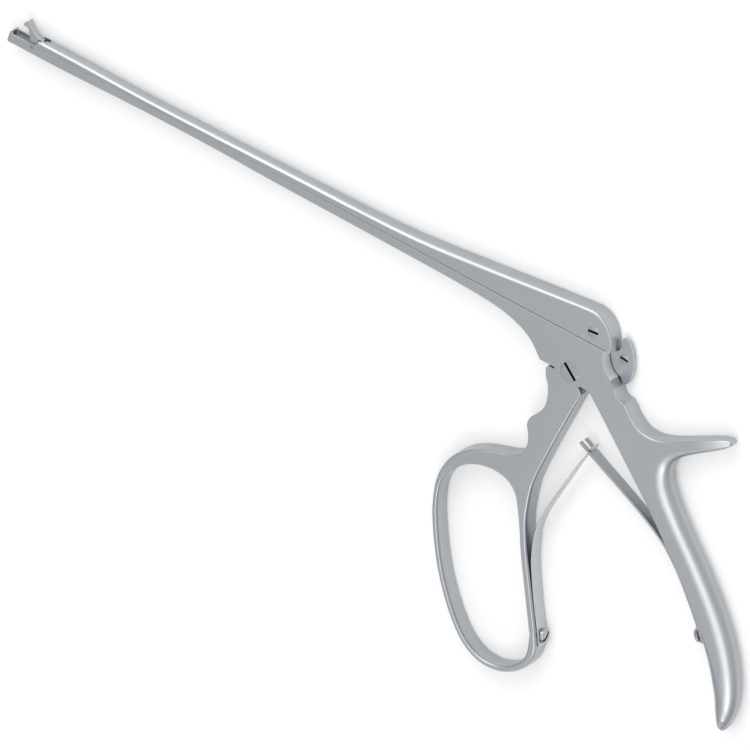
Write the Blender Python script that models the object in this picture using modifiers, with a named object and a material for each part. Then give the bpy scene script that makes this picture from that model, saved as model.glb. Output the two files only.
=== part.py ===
"""Sliding-shaft biopsy forceps: a long fixed shaft with a basket jaw, a slider on top that swings a toothed upper
jaw, a finger-ring lever that drives the slider, and two leaf springs that hook into each other and open the handles.

The instrument lies on its flat back. X runs along the shaft towards the handles, Y towards the slider and Z up
towards the viewer. The origin is the lever's pivot axis on the back plane. All sizes are in millimetres and become
metres where a mesh is made.
"""

import math

import bmesh
import bpy
from mathutils import Matrix, Vector
from mathutils.geometry import interpolate_bezier

MM = 0.001

# Main sizes: reach of the shaft ahead of the lever's pivot, and drop of the finger ring below it
SHAFT_LENGTH = 215.5
HANDLE_DROP = 106.1
DRAWN_SHAFT = 215.5
DRAWN_DROP = 106.1

# Stock
BODY_THICKNESS = 8.0
SHAFT_WIDTH = 5.6
FIT_GAP = 0.3
SCREW_GAP = 0.12
BROKEN_EDGE = 0.08
EDGE_STEPS = 3

# Shaft and slider
TIP_X = -SHAFT_LENGTH
SEAM_Y = 12.0
SLIDER_FRONT_X = TIP_X + 9.5
SLIDER_EDGE_RADIUS = 1.4
TAPER_FRONT_X = -0.557 * SHAFT_LENGTH
TAPER_REAR_X = -0.116 * SHAFT_LENGTH
TAPER_STATIONS = 5

# Basket jaw
RIM_Y = 11.75
BASKET_WALL = 1.1
BASKET_FRONT_WALL = 0.85
BASKET_REAR_X = TIP_X + 6.5
BASKET_FLOOR_Y = 9.5
CROSS_BAR_WIDTH = 0.45
CROSS_BAR_X = (TIP_X + 2.75, TIP_X + 4.7)

# Upper jaw
JAW_PIVOT = (TIP_X + 9.0, 11.0)
JAW_WIDTH = 2.6
CLAW_NARROWING = 0.3
JAW_SIDE_GAP = 0.25
JAW_PIN_RADIUS = 0.55
JAW_PIN_GAP = 0.06
JAW_SLOT_REAR_X = TIP_X + 12.2
JAW_OPEN_ANGLE = 44.0
CRANK_RADIUS = 2.5
CRANK_REST_ANGLE = 50.0
LINK_PIN_RADIUS = 0.4
LINK_PIN_LENGTH = 4.0
LINK_SLOT_GAP = 0.15
WINDOW_REAR_X = TIP_X + 14.2

# Guide rail under the slider
RAIL_FRONT_X = TIP_X + 16.5
RAIL_REAR_X = -14.0
RAIL_NECK_WIDTH = 1.3
RAIL_FOOT_WIDTH = 2.1
RAIL_DEPTH = 1.1
RAIL_GAP = 0.25

# Lever and its pivot
BOSS_RADIUS = 5.6
LEVER_SHOULDER_Y = -1.2
LEVER_SEAT_END = 321
CROTCH = (8.6, -3.4)
TANG_THICKNESS = 2.3
TANG_ROOT_RADIUS = 5.0
TANG_TOP_RADIUS = 2.3
TANG_SLOT = (-6.5, 7.6)
DRIVE_PIN = (2.8, 16.1)
DRIVE_SLIDER_SLOT = (-1.6, 7.2)

# Screws: head radius, head height, shank radius, driver slot width and depth
PIVOT_SCREW = (3.3, 1.6, 2.0, 0.75, 0.9)
DRIVE_SCREW = (1.8, 1.0, 1.1, 0.65, 0.6)
STOP_SCREW = (1.5, 0.6, 0.8, 0.55, 0.4)
SPRING_SCREW = (2.4, 1.7, 1.1, 0.7, 0.8)
SCREW_BLIND = 1.0

# Stop plate behind the slider
CHEEK_THICKNESS = 1.0
STOP_PLATE_THICKNESS = 1.1
STOP_PLATE_GAP = 0.2
RECESS_CENTRE = (16.5, 11.5)
RECESS_RADIUS = 8.1
STOP_SCREW_AT = (13.6, 10.0)

# Leaf springs
SPRING_THICKNESS = 0.9
FRONT_SPRING_WIDTH = 5.0
FRONT_SPRING_TIP_WIDTH = 1.8
REAR_SPRING_WIDTH = 6.2
FORK_SLOT_WIDTH = 2.6
HOOK_LENGTH = 4.4
HOOK_RADIUS = 0.55
FRONT_SPRING_SCREW_AT = 0.04
REAR_SPRING_SCREW_AT = 0.34
FRONT_SPRING_ROOT = (8.4, -56.0)
REAR_SPRING_ROOT = (54.0, -43.3)

# Handles
RING_BAND = 2.2
PALM_ROUND = 5.0
PALM_DEPTH = 3.8
HEEL_THINNING = 0.24
HEEL_LENGTH = 18.0
WIDEST_ROUND = 0.46
SCREW_DEPTH = 4.5

MID_Z = BODY_THICKNESS / 2
SLIDER_Y = SEAM_Y + FIT_GAP


def new_collection(name):
    """A fresh collection in the scene."""
    made = bpy.data.collections.new(name)
    bpy.context.scene.collection.children.link(made)
    return made


def clear_scene():
    """Remove whatever the file opened with."""
    for old in list(bpy.data.objects):
        bpy.data.objects.remove(old, do_unlink=True)


clear_scene()
PARTS = new_collection("biopsy_forceps")
CUTTERS = new_collection("cutters")


def steel(name, shade, roughness):
    """A satin steel material."""
    made = bpy.data.materials.new(name)
    made.use_nodes = True
    shader = made.node_tree.nodes["Principled BSDF"]
    shader.inputs["Base Color"].default_value = (shade, shade * 1.01, shade * 1.03, 1.0)
    shader.inputs["Metallic"].default_value = 1.0
    shader.inputs["Roughness"].default_value = roughness
    return made


SATIN_STEEL = steel("satin_steel", 0.62, 0.38)
SPRING_STEEL = steel("spring_steel", 0.66, 0.3)
SCREW_STEEL = steel("screw_steel", 0.6, 0.33)


def add_mesh(name, bm, where, material=None):
    """Turn a bmesh in millimetres into an object in metres."""
    bmesh.ops.scale(bm, vec=(MM, MM, MM), verts=bm.verts)
    bmesh.ops.recalc_face_normals(bm, faces=bm.faces)
    mesh = bpy.data.meshes.new(name)
    bm.to_mesh(mesh)
    bm.free()
    made = bpy.data.objects.new(name, mesh)
    where.objects.link(made)
    if material:
        made.data.materials.append(material)
    return made


def hide_tool(tool):
    """Mark an object as a cutter, so that it is never built."""
    tool.hide_render = True
    tool.display_type = "WIRE"
    return tool


def boolean(target, tool, operation):
    """Cut a tool from a piece, or join it on."""
    modifier = target.modifiers.new(f"{operation.lower()} {tool.name}", "BOOLEAN")
    modifier.operation = operation
    modifier.solver = "EXACT"
    modifier.object = hide_tool(tool)
    return target


def cut(target, tool):
    """Cut a tool from a piece."""
    return boolean(target, tool, "DIFFERENCE")


def join(target, tool):
    """Join a tool to a piece."""
    return boolean(target, tool, "UNION")


def smooth(points, steps=5):
    """Points along a smooth curve through hand-chosen ones, with Bezier handles a third of each span."""
    knots = [Vector(p) for p in points]
    last = len(knots) - 1
    directions = []
    for i in range(len(knots)):
        along = knots[min(i + 1, last)] - knots[max(i - 1, 0)]
        directions.append(along.normalized())
    traced = []
    for i in range(last):
        reach = (knots[i + 1] - knots[i]).length / 3
        handle_a = knots[i] + directions[i] * reach
        handle_b = knots[i + 1] - directions[i + 1] * reach
        flat = [v.to_3d() for v in (knots[i], handle_a, handle_b, knots[i + 1])]
        span = interpolate_bezier(*flat, steps + 1)
        traced.extend((p.x, p.y) for p in span[:-1])
    traced.append(tuple(points[-1]))
    return traced


def grown(points):
    """Handle points as drawn, brought to the named drop of the handles."""
    scale = HANDLE_DROP / DRAWN_DROP
    return [(x * scale, y * scale) for x, y in points]


def stretched(points):
    """Shaft points as drawn, with X brought to the named length of the shaft."""
    scale = SHAFT_LENGTH / DRAWN_SHAFT
    return [(x * scale, y) for x, y in points]


def arc(centre, radius, start, end, steps):
    """Points on a circular arc, angles in degrees."""
    angles = (math.radians(start + (end - start) * i / steps) for i in range(steps + 1))
    return [(centre[0] + radius * math.cos(a), centre[1] + radius * math.sin(a)) for a in angles]


def blend(values, share):
    """The value at a share of the way along one number, or along several evenly spaced ones."""
    if not isinstance(values, tuple):
        return values
    place = share * (len(values) - 1)
    index = min(int(place), len(values) - 2)
    return values[index] + (values[index + 1] - values[index]) * (place - index)


def closed(*runs):
    """One closed outline from runs of (points, in-plane rounding, depth rounding), without doubled points.

    A rounding may be several values, which then follow each other evenly along the run.
    """
    outline = []
    for points, inset, depth in runs:
        for i, (x, y) in enumerate(points):
            share = i / (len(points) - 1)
            item = (x, y, blend(inset, share), blend(depth, share))
            if outline and math.dist(outline[-1][:2], (x, y)) < 0.02:
                continue
            outline.append(item)
    if math.dist(outline[0][:2], outline[-1][:2]) < 0.02:
        outline.pop()
    return limit_rounding(outline)


def inward_normals(outline):
    """Mitred normals that point into the material of an outline whose material lies on its left."""
    normals = []
    count = len(outline)
    for i in range(count):
        here = Vector(outline[i][:2])
        before = (here - Vector(outline[i - 1][:2])).normalized()
        after = (Vector(outline[(i + 1) % count][:2]) - here).normalized()
        left = Vector((-(before.y + after.y), before.x + after.x))
        if left.length < 1e-6:
            left = Vector((-after.y, after.x))
        left.normalize()
        lean = max(left.dot(Vector((-after.y, after.x))), 0.55)
        normals.append(left / lean)
    return normals


def metal_across(outline, index, normal):
    """Distance from one point of an outline across the metal to the outline's far side."""
    origin = Vector(outline[index][:2])
    nearest = math.inf
    count = len(outline)
    for j in range(count):
        if (j - index) % count in (0, count - 1):
            continue
        a = Vector(outline[j][:2]) - origin
        b = Vector(outline[(j + 1) % count][:2]) - origin
        edge = b - a
        spread = normal.x * edge.y - normal.y * edge.x
        if abs(spread) < 1e-9:
            continue
        distance = (a.x * edge.y - a.y * edge.x) / spread
        share = (a.x * normal.y - a.y * normal.x) / spread
        if 0.0 <= share <= 1.0 and 1e-3 < distance < nearest:
            nearest = distance
    return nearest


def limit_rounding(outline):
    """Keep each in-plane rounding under half the metal's width, so that roundings from two sides never meet."""
    if signed_area(outline) < 0:
        outline = outline[::-1]
    normals = inward_normals(outline)
    limited = []
    for i, (x, y, inset, depth) in enumerate(outline):
        if inset > 0.6:
            inset = min(inset, WIDEST_ROUND * metal_across(outline, i, normals[i].normalized()))
        limited.append((x, y, inset, depth))
    return limited


def rounded_plate(name, loops, low, high, where, material=None, steps=EDGE_STEPS):
    """A flat plate whose edge is a quarter ellipse that may change along the outline.

    Each loop is a list of (x, y, in-plane rounding, depth rounding), with the material on its left. The side wall is
    lofted ring by ring from the back face round to the front face, and the faces are filled flat.
    """
    bm = bmesh.new()
    rims = {low: [], high: []}
    for outline in loops:
        normals = inward_normals(outline)
        rings = []
        turns = [math.radians(90 * k / steps) for k in range(steps + 1)]
        for side, order in ((low, turns[::-1]), (high, turns)):
            sign = 1 if side == high else -1
            for turn in order:
                ring = []
                for (x, y, inset, depth), normal in zip(outline, normals):
                    shift = inset * (1 - math.cos(turn))
                    z = side - sign * depth * (1 - math.sin(turn))
                    ring.append(bm.verts.new((x + normal.x * shift, y + normal.y * shift, z)))
                rings.append(ring)
        for lower, upper in zip(rings, rings[1:]):
            for i in range(len(outline)):
                j = (i + 1) % len(outline)
                bm.faces.new((lower[i], lower[j], upper[j], upper[i]))
        rims[low].append(rings[0])
        rims[high].append(rings[-1])
    for side_rims in rims.values():
        edges = []
        for ring in side_rims:
            edges += [bm.edges.get((ring[i - 1], ring[i])) for i in range(len(ring))]
        if len(side_rims) == 1:
            bm.faces.new(side_rims[0])
        else:
            bmesh.ops.triangle_fill(bm, use_beauty=True, use_dissolve=False, edges=edges)
    return add_mesh(name, bm, where, material)


def prism(name, points, low, high, where, across=False):
    """A straight prism of an outline, along Z, or along X when across is set and the outline is in Y and Z."""
    curve = bpy.data.curves.new(name, "CURVE")
    curve.dimensions = "2D"
    curve.fill_mode = "BOTH"
    curve.extrude = (high - low) / 2 * MM
    spline = curve.splines.new("POLY")
    spline.points.add(len(points) - 1)
    spline.use_cyclic_u = True
    for knot, (x, y) in zip(spline.points, points):
        knot.co = (x * MM, y * MM, 0.0, 1.0)
    drawn = bpy.data.objects.new(name, curve)
    where.objects.link(drawn)
    middle = (low + high) / 2 * MM
    if across:
        drawn.matrix_world = Matrix(((0, 0, 1, middle), (1, 0, 0, 0), (0, 1, 0, 0), (0, 0, 0, 1)))
    else:
        drawn.matrix_world = Matrix.Translation((0, 0, middle))
    bpy.context.view_layer.update()
    mesh = bpy.data.meshes.new_from_object(drawn.evaluated_get(bpy.context.evaluated_depsgraph_get()))
    mesh.transform(drawn.matrix_world)
    bpy.data.objects.remove(drawn, do_unlink=True)
    bm = bmesh.new()
    bm.from_mesh(mesh)
    bmesh.ops.remove_doubles(bm, verts=bm.verts, dist=0.000001)
    bmesh.ops.recalc_face_normals(bm, faces=bm.faces)
    bm.to_mesh(mesh)
    bm.free()
    made = bpy.data.objects.new(name, mesh)
    where.objects.link(made)
    return made


def cylinder(name, centre, radius, low, high, where, material=None, sides=32):
    """A round bar along Z."""
    bm = bmesh.new()
    place = Matrix.Translation((centre[0], centre[1], (low + high) / 2))
    bmesh.ops.create_cone(bm, cap_ends=True, segments=sides, radius1=radius, radius2=radius,
                          depth=high - low, matrix=place)
    return add_mesh(name, bm, where, material)


def block(name, low, high, where, matrix=None):
    """A box between two corners, turned by a matrix in millimetres when one is given."""
    bm = bmesh.new()
    bmesh.ops.create_cube(bm, size=1.0)
    size = [b - a for a, b in zip(low, high)]
    middle = [(a + b) / 2 for a, b in zip(low, high)]
    bmesh.ops.scale(bm, vec=size, verts=bm.verts)
    bmesh.ops.translate(bm, vec=middle, verts=bm.verts)
    if matrix:
        bmesh.ops.transform(bm, matrix=matrix, verts=bm.verts)
    return add_mesh(name, bm, where)


def stadium(start, end, radius, steps=8):
    """The outline of a slot with round ends, from one centre to the other."""
    heading = math.degrees(math.atan2(end[1] - start[1], end[0] - start[0]))
    return arc(start, radius, heading + 90, heading + 270, steps) + arc(end, radius, heading - 90, heading + 90, steps)


def turned_screw(name, sizes, length, where, dome=0.0, slot_angle=0.0):
    """A slotted screw along Z with the top of its head at z = 0, as a turned profile with a cut slot."""
    head_radius, head_height, shank_radius, slot_width, slot_depth = sizes
    chamfer = 0.15
    if dome:
        top = [(head_radius * math.sin(a), dome * math.cos(a) - dome)
               for a in (math.radians(18 * k) for k in range(6))]
    else:
        top = [(0.0, 0.0), (head_radius - chamfer, 0.0), (head_radius, -chamfer)]
    profile = top + [(head_radius, -head_height), (shank_radius, -head_height),
                     (shank_radius, -length + chamfer), (shank_radius - chamfer, -length), (0.0, -length)]
    mesh = bpy.data.meshes.new(name)
    mesh.from_pydata([(x * MM, 0.0, z * MM) for x, z in profile],
                     [(i, i + 1) for i in range(len(profile) - 1)], [])
    made = bpy.data.objects.new(name, mesh)
    where.objects.link(made)
    made.data.materials.append(SCREW_STEEL)
    screw = made.modifiers.new("turn", "SCREW")
    screw.axis = "Z"
    screw.steps = 32
    screw.render_steps = 32
    screw.use_merge_vertices = True
    screw.merge_threshold = 0.00001
    slot = block(name + "_slot", (-head_radius - 1, -slot_width / 2, -slot_depth),
                 (head_radius + 1, slot_width / 2, 1.0), CUTTERS,
                 Matrix.Rotation(math.radians(slot_angle), 4, "Z"))
    cut(made, slot)
    return made, slot


def place(made, location, rotation=None):
    """Put a turned piece, and its slot cutter, where it belongs."""
    frame = Matrix.Translation(Vector(location) * MM) @ (rotation or Matrix.Identity(4))
    for item in made:
        item.matrix_world = frame
    return made[0]


def set_origin(item, x, y):
    """Move an object's origin onto its joint's axis without moving its shape."""
    shift = Vector((x, y, 0.0)) * MM
    item.data.transform(Matrix.Translation(-shift))
    item.location = shift
    return item


def width_share(x):
    """Share of the full thickness at a place along the shaft: slim in front, eased up to the body's thickness."""
    share = min(max((x - TAPER_FRONT_X) / (TAPER_REAR_X - TAPER_FRONT_X), 0.0), 1.0)
    eased = share * share * (3 - 2 * share)
    slim = SHAFT_WIDTH / BODY_THICKNESS
    return slim + (1 - slim) * eased


def taper(item):
    """Thin a plate towards the tip, after cutting its faces across where the taper bends."""
    bm = bmesh.new()
    bm.from_mesh(item.data)
    for k in range(TAPER_STATIONS + 1):
        station = TAPER_FRONT_X + (TAPER_REAR_X - TAPER_FRONT_X) * k / TAPER_STATIONS
        bmesh.ops.bisect_plane(bm, geom=bm.verts[:] + bm.edges[:] + bm.faces[:],
                               plane_co=(station * MM, 0, 0), plane_no=(1, 0, 0), dist=1e-7)
    for vert in bm.verts:
        vert.co.z = (MID_Z + (vert.co.z / MM - MID_Z) * width_share(vert.co.x / MM)) * MM
    bm.to_mesh(item.data)
    bm.free()
    return item


def offset_path(points, distance):
    """The points of a path moved to its left."""
    moved = []
    for i in range(len(points)):
        ahead = Vector(points[min(i + 1, len(points) - 1)])
        behind = Vector(points[max(i - 1, 0)])
        along = (ahead - behind).normalized()
        moved.append((points[i][0] - along.y * distance, points[i][1] + along.x * distance))
    return moved


# Shared edges: the handle's inner face and the ring limb's outer face carry the springs
HANDLE_INNER = smooth(grown([(38.3, -28.0), (46.6, -35.6), (53.6, -42.2), (61.3, -50.1), (69.4, -59.4),
                             (76.0, -68.6), (80.8, -77.6)]), 4)
LIMB_OUTER = smooth(grown([(4.4, -16.6), (2.5, -29.0), (1.2, -40.5), (1.8, -47.3), (3.1, -53.7), (5.3, -59.6),
                           (7.9, -65.4), (11.4, -72.4), (15.2, -80.0), (18.9, -87.3)]), 4)
FRONT_FLEX_AXIS = grown([FRONT_SPRING_ROOT])[0]
REAR_FLEX_AXIS = grown([REAR_SPRING_ROOT])[0]
HEEL_DRAWN = (87.4, -87.7)
HEEL = grown([HEEL_DRAWN])[0]


def thin_heel(item):
    """Ease the handle's end down to a domed tip, after cutting its faces across where it bends."""
    bm = bmesh.new()
    bm.from_mesh(item.data)
    axis = (Vector(HANDLE_INNER[-1]) - Vector(HEEL)).normalized()
    for k in range(1, 5):
        station = Vector(HEEL) + axis * HEEL_LENGTH * k / 4
        bmesh.ops.bisect_plane(bm, geom=bm.verts[:] + bm.edges[:] + bm.faces[:],
                               plane_co=station.to_3d() * MM, plane_no=axis.to_3d(), dist=1e-7)
    for vert in bm.verts:
        depth = 1 - (Vector(vert.co[:2]) / MM - Vector(HEEL)).dot(axis) / HEEL_LENGTH
        share = 1 - HEEL_THINNING * min(max(depth, 0.0), 1.0) ** 2
        vert.co.z = (MID_Z + (vert.co.z / MM - MID_Z) * share) * MM
    bm.to_mesh(item.data)
    bm.free()


def frame_outline():
    """The forged frame seen from the front: shaft, body, rear handle with its thumb spur, and stop-plate cheek."""
    seam = [(16.2, SEAM_Y), (JAW_PIVOT[0] + 0.6, SEAM_Y)]
    front = JAW_PIVOT[0]
    dip = smooth([(front + 0.6, SEAM_Y), (front - 1.1, 11.6), (front - 2.1, 11.2), (front - 3.1, 11.35),
                  (front - 3.9, RIM_Y)], 3)
    tip = [(front - 3.9, RIM_Y), (TIP_X, RIM_Y), (TIP_X, 9.4), (TIP_X + 0.5, 8.8)]
    belly = smooth([(TIP_X + 0.5, 8.8)] + stretched([(-194.0, 8.8), (-165.0, 9.5), (-140.0, 9.6), (-112.0, 9.1),
                                                     (-75.0, 9.0), (-52.0, 8.9)])
                   + [(-40.0, 8.6), (-30.0, 7.9), (-22.3, 6.2), (-16.2, 3.4), (-11.6, -0.6)], 4)
    shoulder = [(-11.6, -0.6), (-10.9, LEVER_SHOULDER_Y),
                (-math.sqrt(BOSS_RADIUS ** 2 - LEVER_SHOULDER_Y ** 2), LEVER_SHOULDER_Y)]
    boss_start = 180 + math.degrees(math.asin(-LEVER_SHOULDER_Y / BOSS_RADIUS))
    boss = arc((0, 0), BOSS_RADIUS, boss_start, 329, 12)
    crotch = [boss[-1], CROTCH, HANDLE_INNER[0]]
    heel = smooth([HANDLE_INNER[-1]] + grown([(83.3, -83.4), (85.5, -87.1), HEEL_DRAWN, (88.9, -85.0)]), 4)
    palm = smooth(grown([(88.9, -85.0), (89.5, -79.5), (87.8, -71.6), (83.4, -62.4), (77.2, -53.6), (70.4, -46.0),
                         (62.4, -38.0), (54.2, -30.4), (48.2, -24.4)]), 4)
    throat = smooth(grown([(48.2, -24.4), (44.0, -19.4), (42.1, -14.6), (42.9, -10.6), (45.6, -7.4)]), 4)
    spur_under = smooth(grown([(45.6, -7.4), (50.0, -4.0), (56.0, 0.4), (57.9, 2.3)]), 4)
    spur_tip = arc(grown([(57.2, 2.9)])[0], 1.0, -35, 110, 5)
    spur_top = smooth(grown([(56.8, 3.9), (54.0, 2.9), (46.0, -1.5), (38.0, -5.7), (33.1, -7.2), (28.6, -6.8),
                             (24.8, -4.6)]) + [(22.4, -2.4), (20.9, -1.2)], 4)
    notch = smooth([(20.9, -1.2), (18.9, -1.0), (17.0, 0.3), (15.3, 3.0)], 3)
    cheek = smooth([(15.3, 3.0), (16.9, 5.0), (17.2, 8.6), (16.2, SEAM_Y)], 3)
    return closed((seam, BROKEN_EDGE, BROKEN_EDGE), (dip, 0.2, 0.2), (tip, 0.35, 0.35), (belly, (0.7, 0.5), (0.7, 0.5)),
                  (shoulder, 0.25, 0.25), (boss, 0.1, 0.1), (crotch, 0.3, 0.3),
                  (HANDLE_INNER, (0.3, 0.3, 0.6, 1.4, 2.6, 4.0), (0.3, 0.3, 0.5, 1.1, 2.2, 3.4)),
                  (heel, 4.4, (3.4, PALM_DEPTH)), (palm, (4.6, PALM_ROUND, PALM_ROUND), PALM_DEPTH),
                  (throat, (PALM_ROUND, 4.6, 2.4), (PALM_DEPTH, 3.4, 2.0)), (spur_under, (2.4, 1.4, 0.9), (2.0, 1.3, 0.9)),
                  (spur_tip, 0.6, 0.8), (spur_top, 0.5, 0.5), (notch, 0.25, 0.25), (cheek, 0.2, 0.2))


def rail_section(extra, top):
    """The dovetail under the slider in Y and Z, or its groove when extra is its clearance."""
    neck = RAIL_NECK_WIDTH / 2 + extra
    foot = RAIL_FOOT_WIDTH / 2 + extra
    low = SEAM_Y + RAIL_GAP - RAIL_DEPTH - extra
    return [(low, MID_Z - foot), (low, MID_Z + foot), (SEAM_Y, MID_Z + neck), (top, MID_Z + neck),
            (top, MID_Z - neck), (SEAM_Y, MID_Z - neck)]


def stop_recess():
    """Outline of the cut that leaves the thin rear cheek."""
    wall = arc(RECESS_CENTRE, RECESS_RADIUS, 177, 250, 12)
    return wall + [(16.3, 1.4), (30.0, 1.4), (30.0, 20.0), (RECESS_CENTRE[0] - 8, 20.0)]


def slider_travel():
    """Stroke of the slider that turns the crank from its rest angle through the jaw's opening angle."""
    start = math.radians(CRANK_REST_ANGLE)
    end = math.radians(CRANK_REST_ANGLE + JAW_OPEN_ANGLE)
    return CRANK_RADIUS * (math.cos(start) - math.cos(end))


def link_pin_at():
    """Centre of the link pin at rest."""
    angle = math.radians(CRANK_REST_ANGLE)
    return JAW_PIVOT[0] + CRANK_RADIUS * math.cos(angle), JAW_PIVOT[1] + CRANK_RADIUS * math.sin(angle)


def spring_seat(edge, share, outward):
    """Point, direction out of the metal and distance along the Z mid-plane for a screw through a spring."""
    index = round((len(edge) - 1) * (1 - share))
    along = (Vector(edge[min(index + 1, len(edge) - 1)]) - Vector(edge[index - 1])).normalized()
    normal = Vector((-along.y, along.x)) * outward
    return Vector(edge[index]), normal


FRONT_SEAT = spring_seat(LIMB_OUTER, FRONT_SPRING_SCREW_AT, 1)
REAR_SEAT = spring_seat(HANDLE_INNER, REAR_SPRING_SCREW_AT, -1)


def seat_matrix(seat, lift):
    """Frame whose Z axis leaves the metal at a spring seat, lifted off the edge."""
    point, normal = seat
    x_axis = Vector((0, 0, 1))
    z_axis = normal.to_3d()
    y_axis = z_axis.cross(x_axis)
    turn = Matrix((x_axis, y_axis, z_axis)).transposed().to_4x4()
    origin = point.to_3d() + z_axis * lift
    origin.z = MID_Z
    return Matrix.Translation(origin) @ turn


def seat_bore(name, seat, radius, depth, height):
    """A round cutter across a spring seat, from inside the metal to above it."""
    bm = bmesh.new()
    bmesh.ops.create_cone(bm, cap_ends=True, segments=24, radius1=radius, radius2=radius, depth=depth + height)
    bmesh.ops.translate(bm, vec=(0, 0, (height - depth) / 2), verts=bm.verts)
    bmesh.ops.transform(bm, matrix=seat_matrix(seat, 0.0), verts=bm.verts)
    return add_mesh(name, bm, CUTTERS)


def build_frame():
    """Shaft, basket jaw, body, stop-plate cheek, rear handle and thumb spur in one forging."""
    frame = rounded_plate("frame", [frame_outline()], 0.0, BODY_THICKNESS, PARTS, SATIN_STEEL)
    taper(frame)
    thin_heel(frame)
    half_basket = SHAFT_WIDTH / 2 - BASKET_WALL
    front = TIP_X + BASKET_FRONT_WALL + half_basket
    rear = BASKET_REAR_X - half_basket
    cavity = stadium((front, MID_Z), (rear, MID_Z), half_basket)
    upper = [(x, z) for x, z in cavity]
    cut(frame, upright_prism("basket_cavity", upper, BASKET_FLOOR_Y, SEAM_Y + 3))
    walls = [TIP_X + BASKET_FRONT_WALL] + [x for x in CROSS_BAR_X] + [JAW_SLOT_REAR_X]
    half_jaw = JAW_WIDTH / 2 + JAW_SIDE_GAP
    for k in range(len(CROSS_BAR_X) + 1):
        left = walls[k] + (CROSS_BAR_WIDTH / 2 if k else 0.25)
        right = walls[k + 1] - (CROSS_BAR_WIDTH / 2 if k < len(CROSS_BAR_X) else 0.0)
        window = [(left, MID_Z - half_jaw), (right, MID_Z - half_jaw), (right, MID_Z + half_jaw), (left, MID_Z + half_jaw)]
        cut(frame, upright_prism(f"basket_window_{k + 1}", window, SEAM_Y - 8, BASKET_FLOOR_Y + 0.4))
    slot = [(rear, MID_Z - half_jaw), (JAW_SLOT_REAR_X, MID_Z - half_jaw),
            (JAW_SLOT_REAR_X, MID_Z + half_jaw), (rear, MID_Z + half_jaw)]
    cut(frame, upright_prism("jaw_slot", slot, BASKET_FLOOR_Y - 0.2, SEAM_Y + 3))
    cut(frame, cylinder("jaw_pin_bore", JAW_PIVOT, JAW_PIN_RADIUS + JAW_PIN_GAP, -2, BODY_THICKNESS + 2, CUTTERS, sides=20))
    groove = rail_section(RAIL_GAP, SEAM_Y + 2)
    cut(frame, prism("rail_groove", groove, RAIL_FRONT_X - slider_travel() - FIT_GAP, TANG_SLOT[0] + 1, CUTTERS, True))
    half_slot = TANG_THICKNESS / 2 + FIT_GAP
    cut(frame, block("tang_slot", (TANG_SLOT[0], -10, MID_Z - half_slot), (TANG_SLOT[1], SEAM_Y + 3, MID_Z + half_slot),
                     CUTTERS))
    cut(frame, prism("stop_recess", stop_recess(), CHEEK_THICKNESS, BODY_THICKNESS + 2, CUTTERS))
    head, head_height, shank, _, _ = PIVOT_SCREW
    cut(frame, cylinder("pivot_bore", (0, 0), shank + SCREW_GAP, SCREW_BLIND - 0.2, BODY_THICKNESS + 2, CUTTERS))
    cut(frame, cylinder("pivot_counterbore", (0, 0), head + SCREW_GAP, BODY_THICKNESS - head_height - 0.2,
                        BODY_THICKNESS + 2, CUTTERS))
    cut(frame, cylinder("stop_screw_bore", STOP_SCREW_AT, STOP_SCREW[2] + SCREW_GAP, -1, CHEEK_THICKNESS + 2, CUTTERS,
                        sides=20))
    cut(frame, seat_bore("rear_spring_bore", REAR_SEAT, SPRING_SCREW[2] + SCREW_GAP, SCREW_DEPTH + 0.3, 3.0))
    return frame


def upright_prism(name, outline_xz, low, high):
    """A prism along Y from an outline in X and Z."""
    made = prism(name, [(x, z) for x, z in outline_xz], low, high, CUTTERS)
    swap = Matrix(((1, 0, 0, 0), (0, 0, 1, 0), (0, 1, 0, 0), (0, 0, 0, 1)))
    made.data.transform(swap)
    made.data.flip_normals()
    return made


def slider_outline():
    """The slider from the side: low at the tip, climbing to a hump over the drive screw."""
    base = [(SLIDER_FRONT_X, SLIDER_Y), (10.9, SLIDER_Y)]
    rear = smooth([(10.9, SLIDER_Y), (10.3, 15.2), (8.5, 18.6), (5.6, 21.2), (2.0, 22.6), (-2.5, 22.5)], 4)
    top = smooth([(-2.5, 22.5), (-20.0, 20.6), (-43.0, 18.0)]
                 + stretched([(-62.0, 16.1), (-78.0, 15.35), (-100.0, 15.0), (-140.0, 14.4), (-165.0, 14.2),
                              (-190.0, 14.5)]) + [(SLIDER_FRONT_X + 1.6, 14.5)], 4)
    nose = smooth([(SLIDER_FRONT_X + 1.6, 14.5), (SLIDER_FRONT_X + 0.4, 13.9), (SLIDER_FRONT_X, SLIDER_Y + 0.5)], 4)
    front = [(SLIDER_FRONT_X, SLIDER_Y + 0.5), (SLIDER_FRONT_X, SLIDER_Y)]
    edge = SLIDER_EDGE_RADIUS
    return closed((base, BROKEN_EDGE, BROKEN_EDGE), (rear, (0.5, edge), (0.5, edge)), (top, edge, edge),
                  (nose, (edge, 0.8), (edge, 0.8)), (front, (0.8, BROKEN_EDGE), (0.8, BROKEN_EDGE)))


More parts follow.
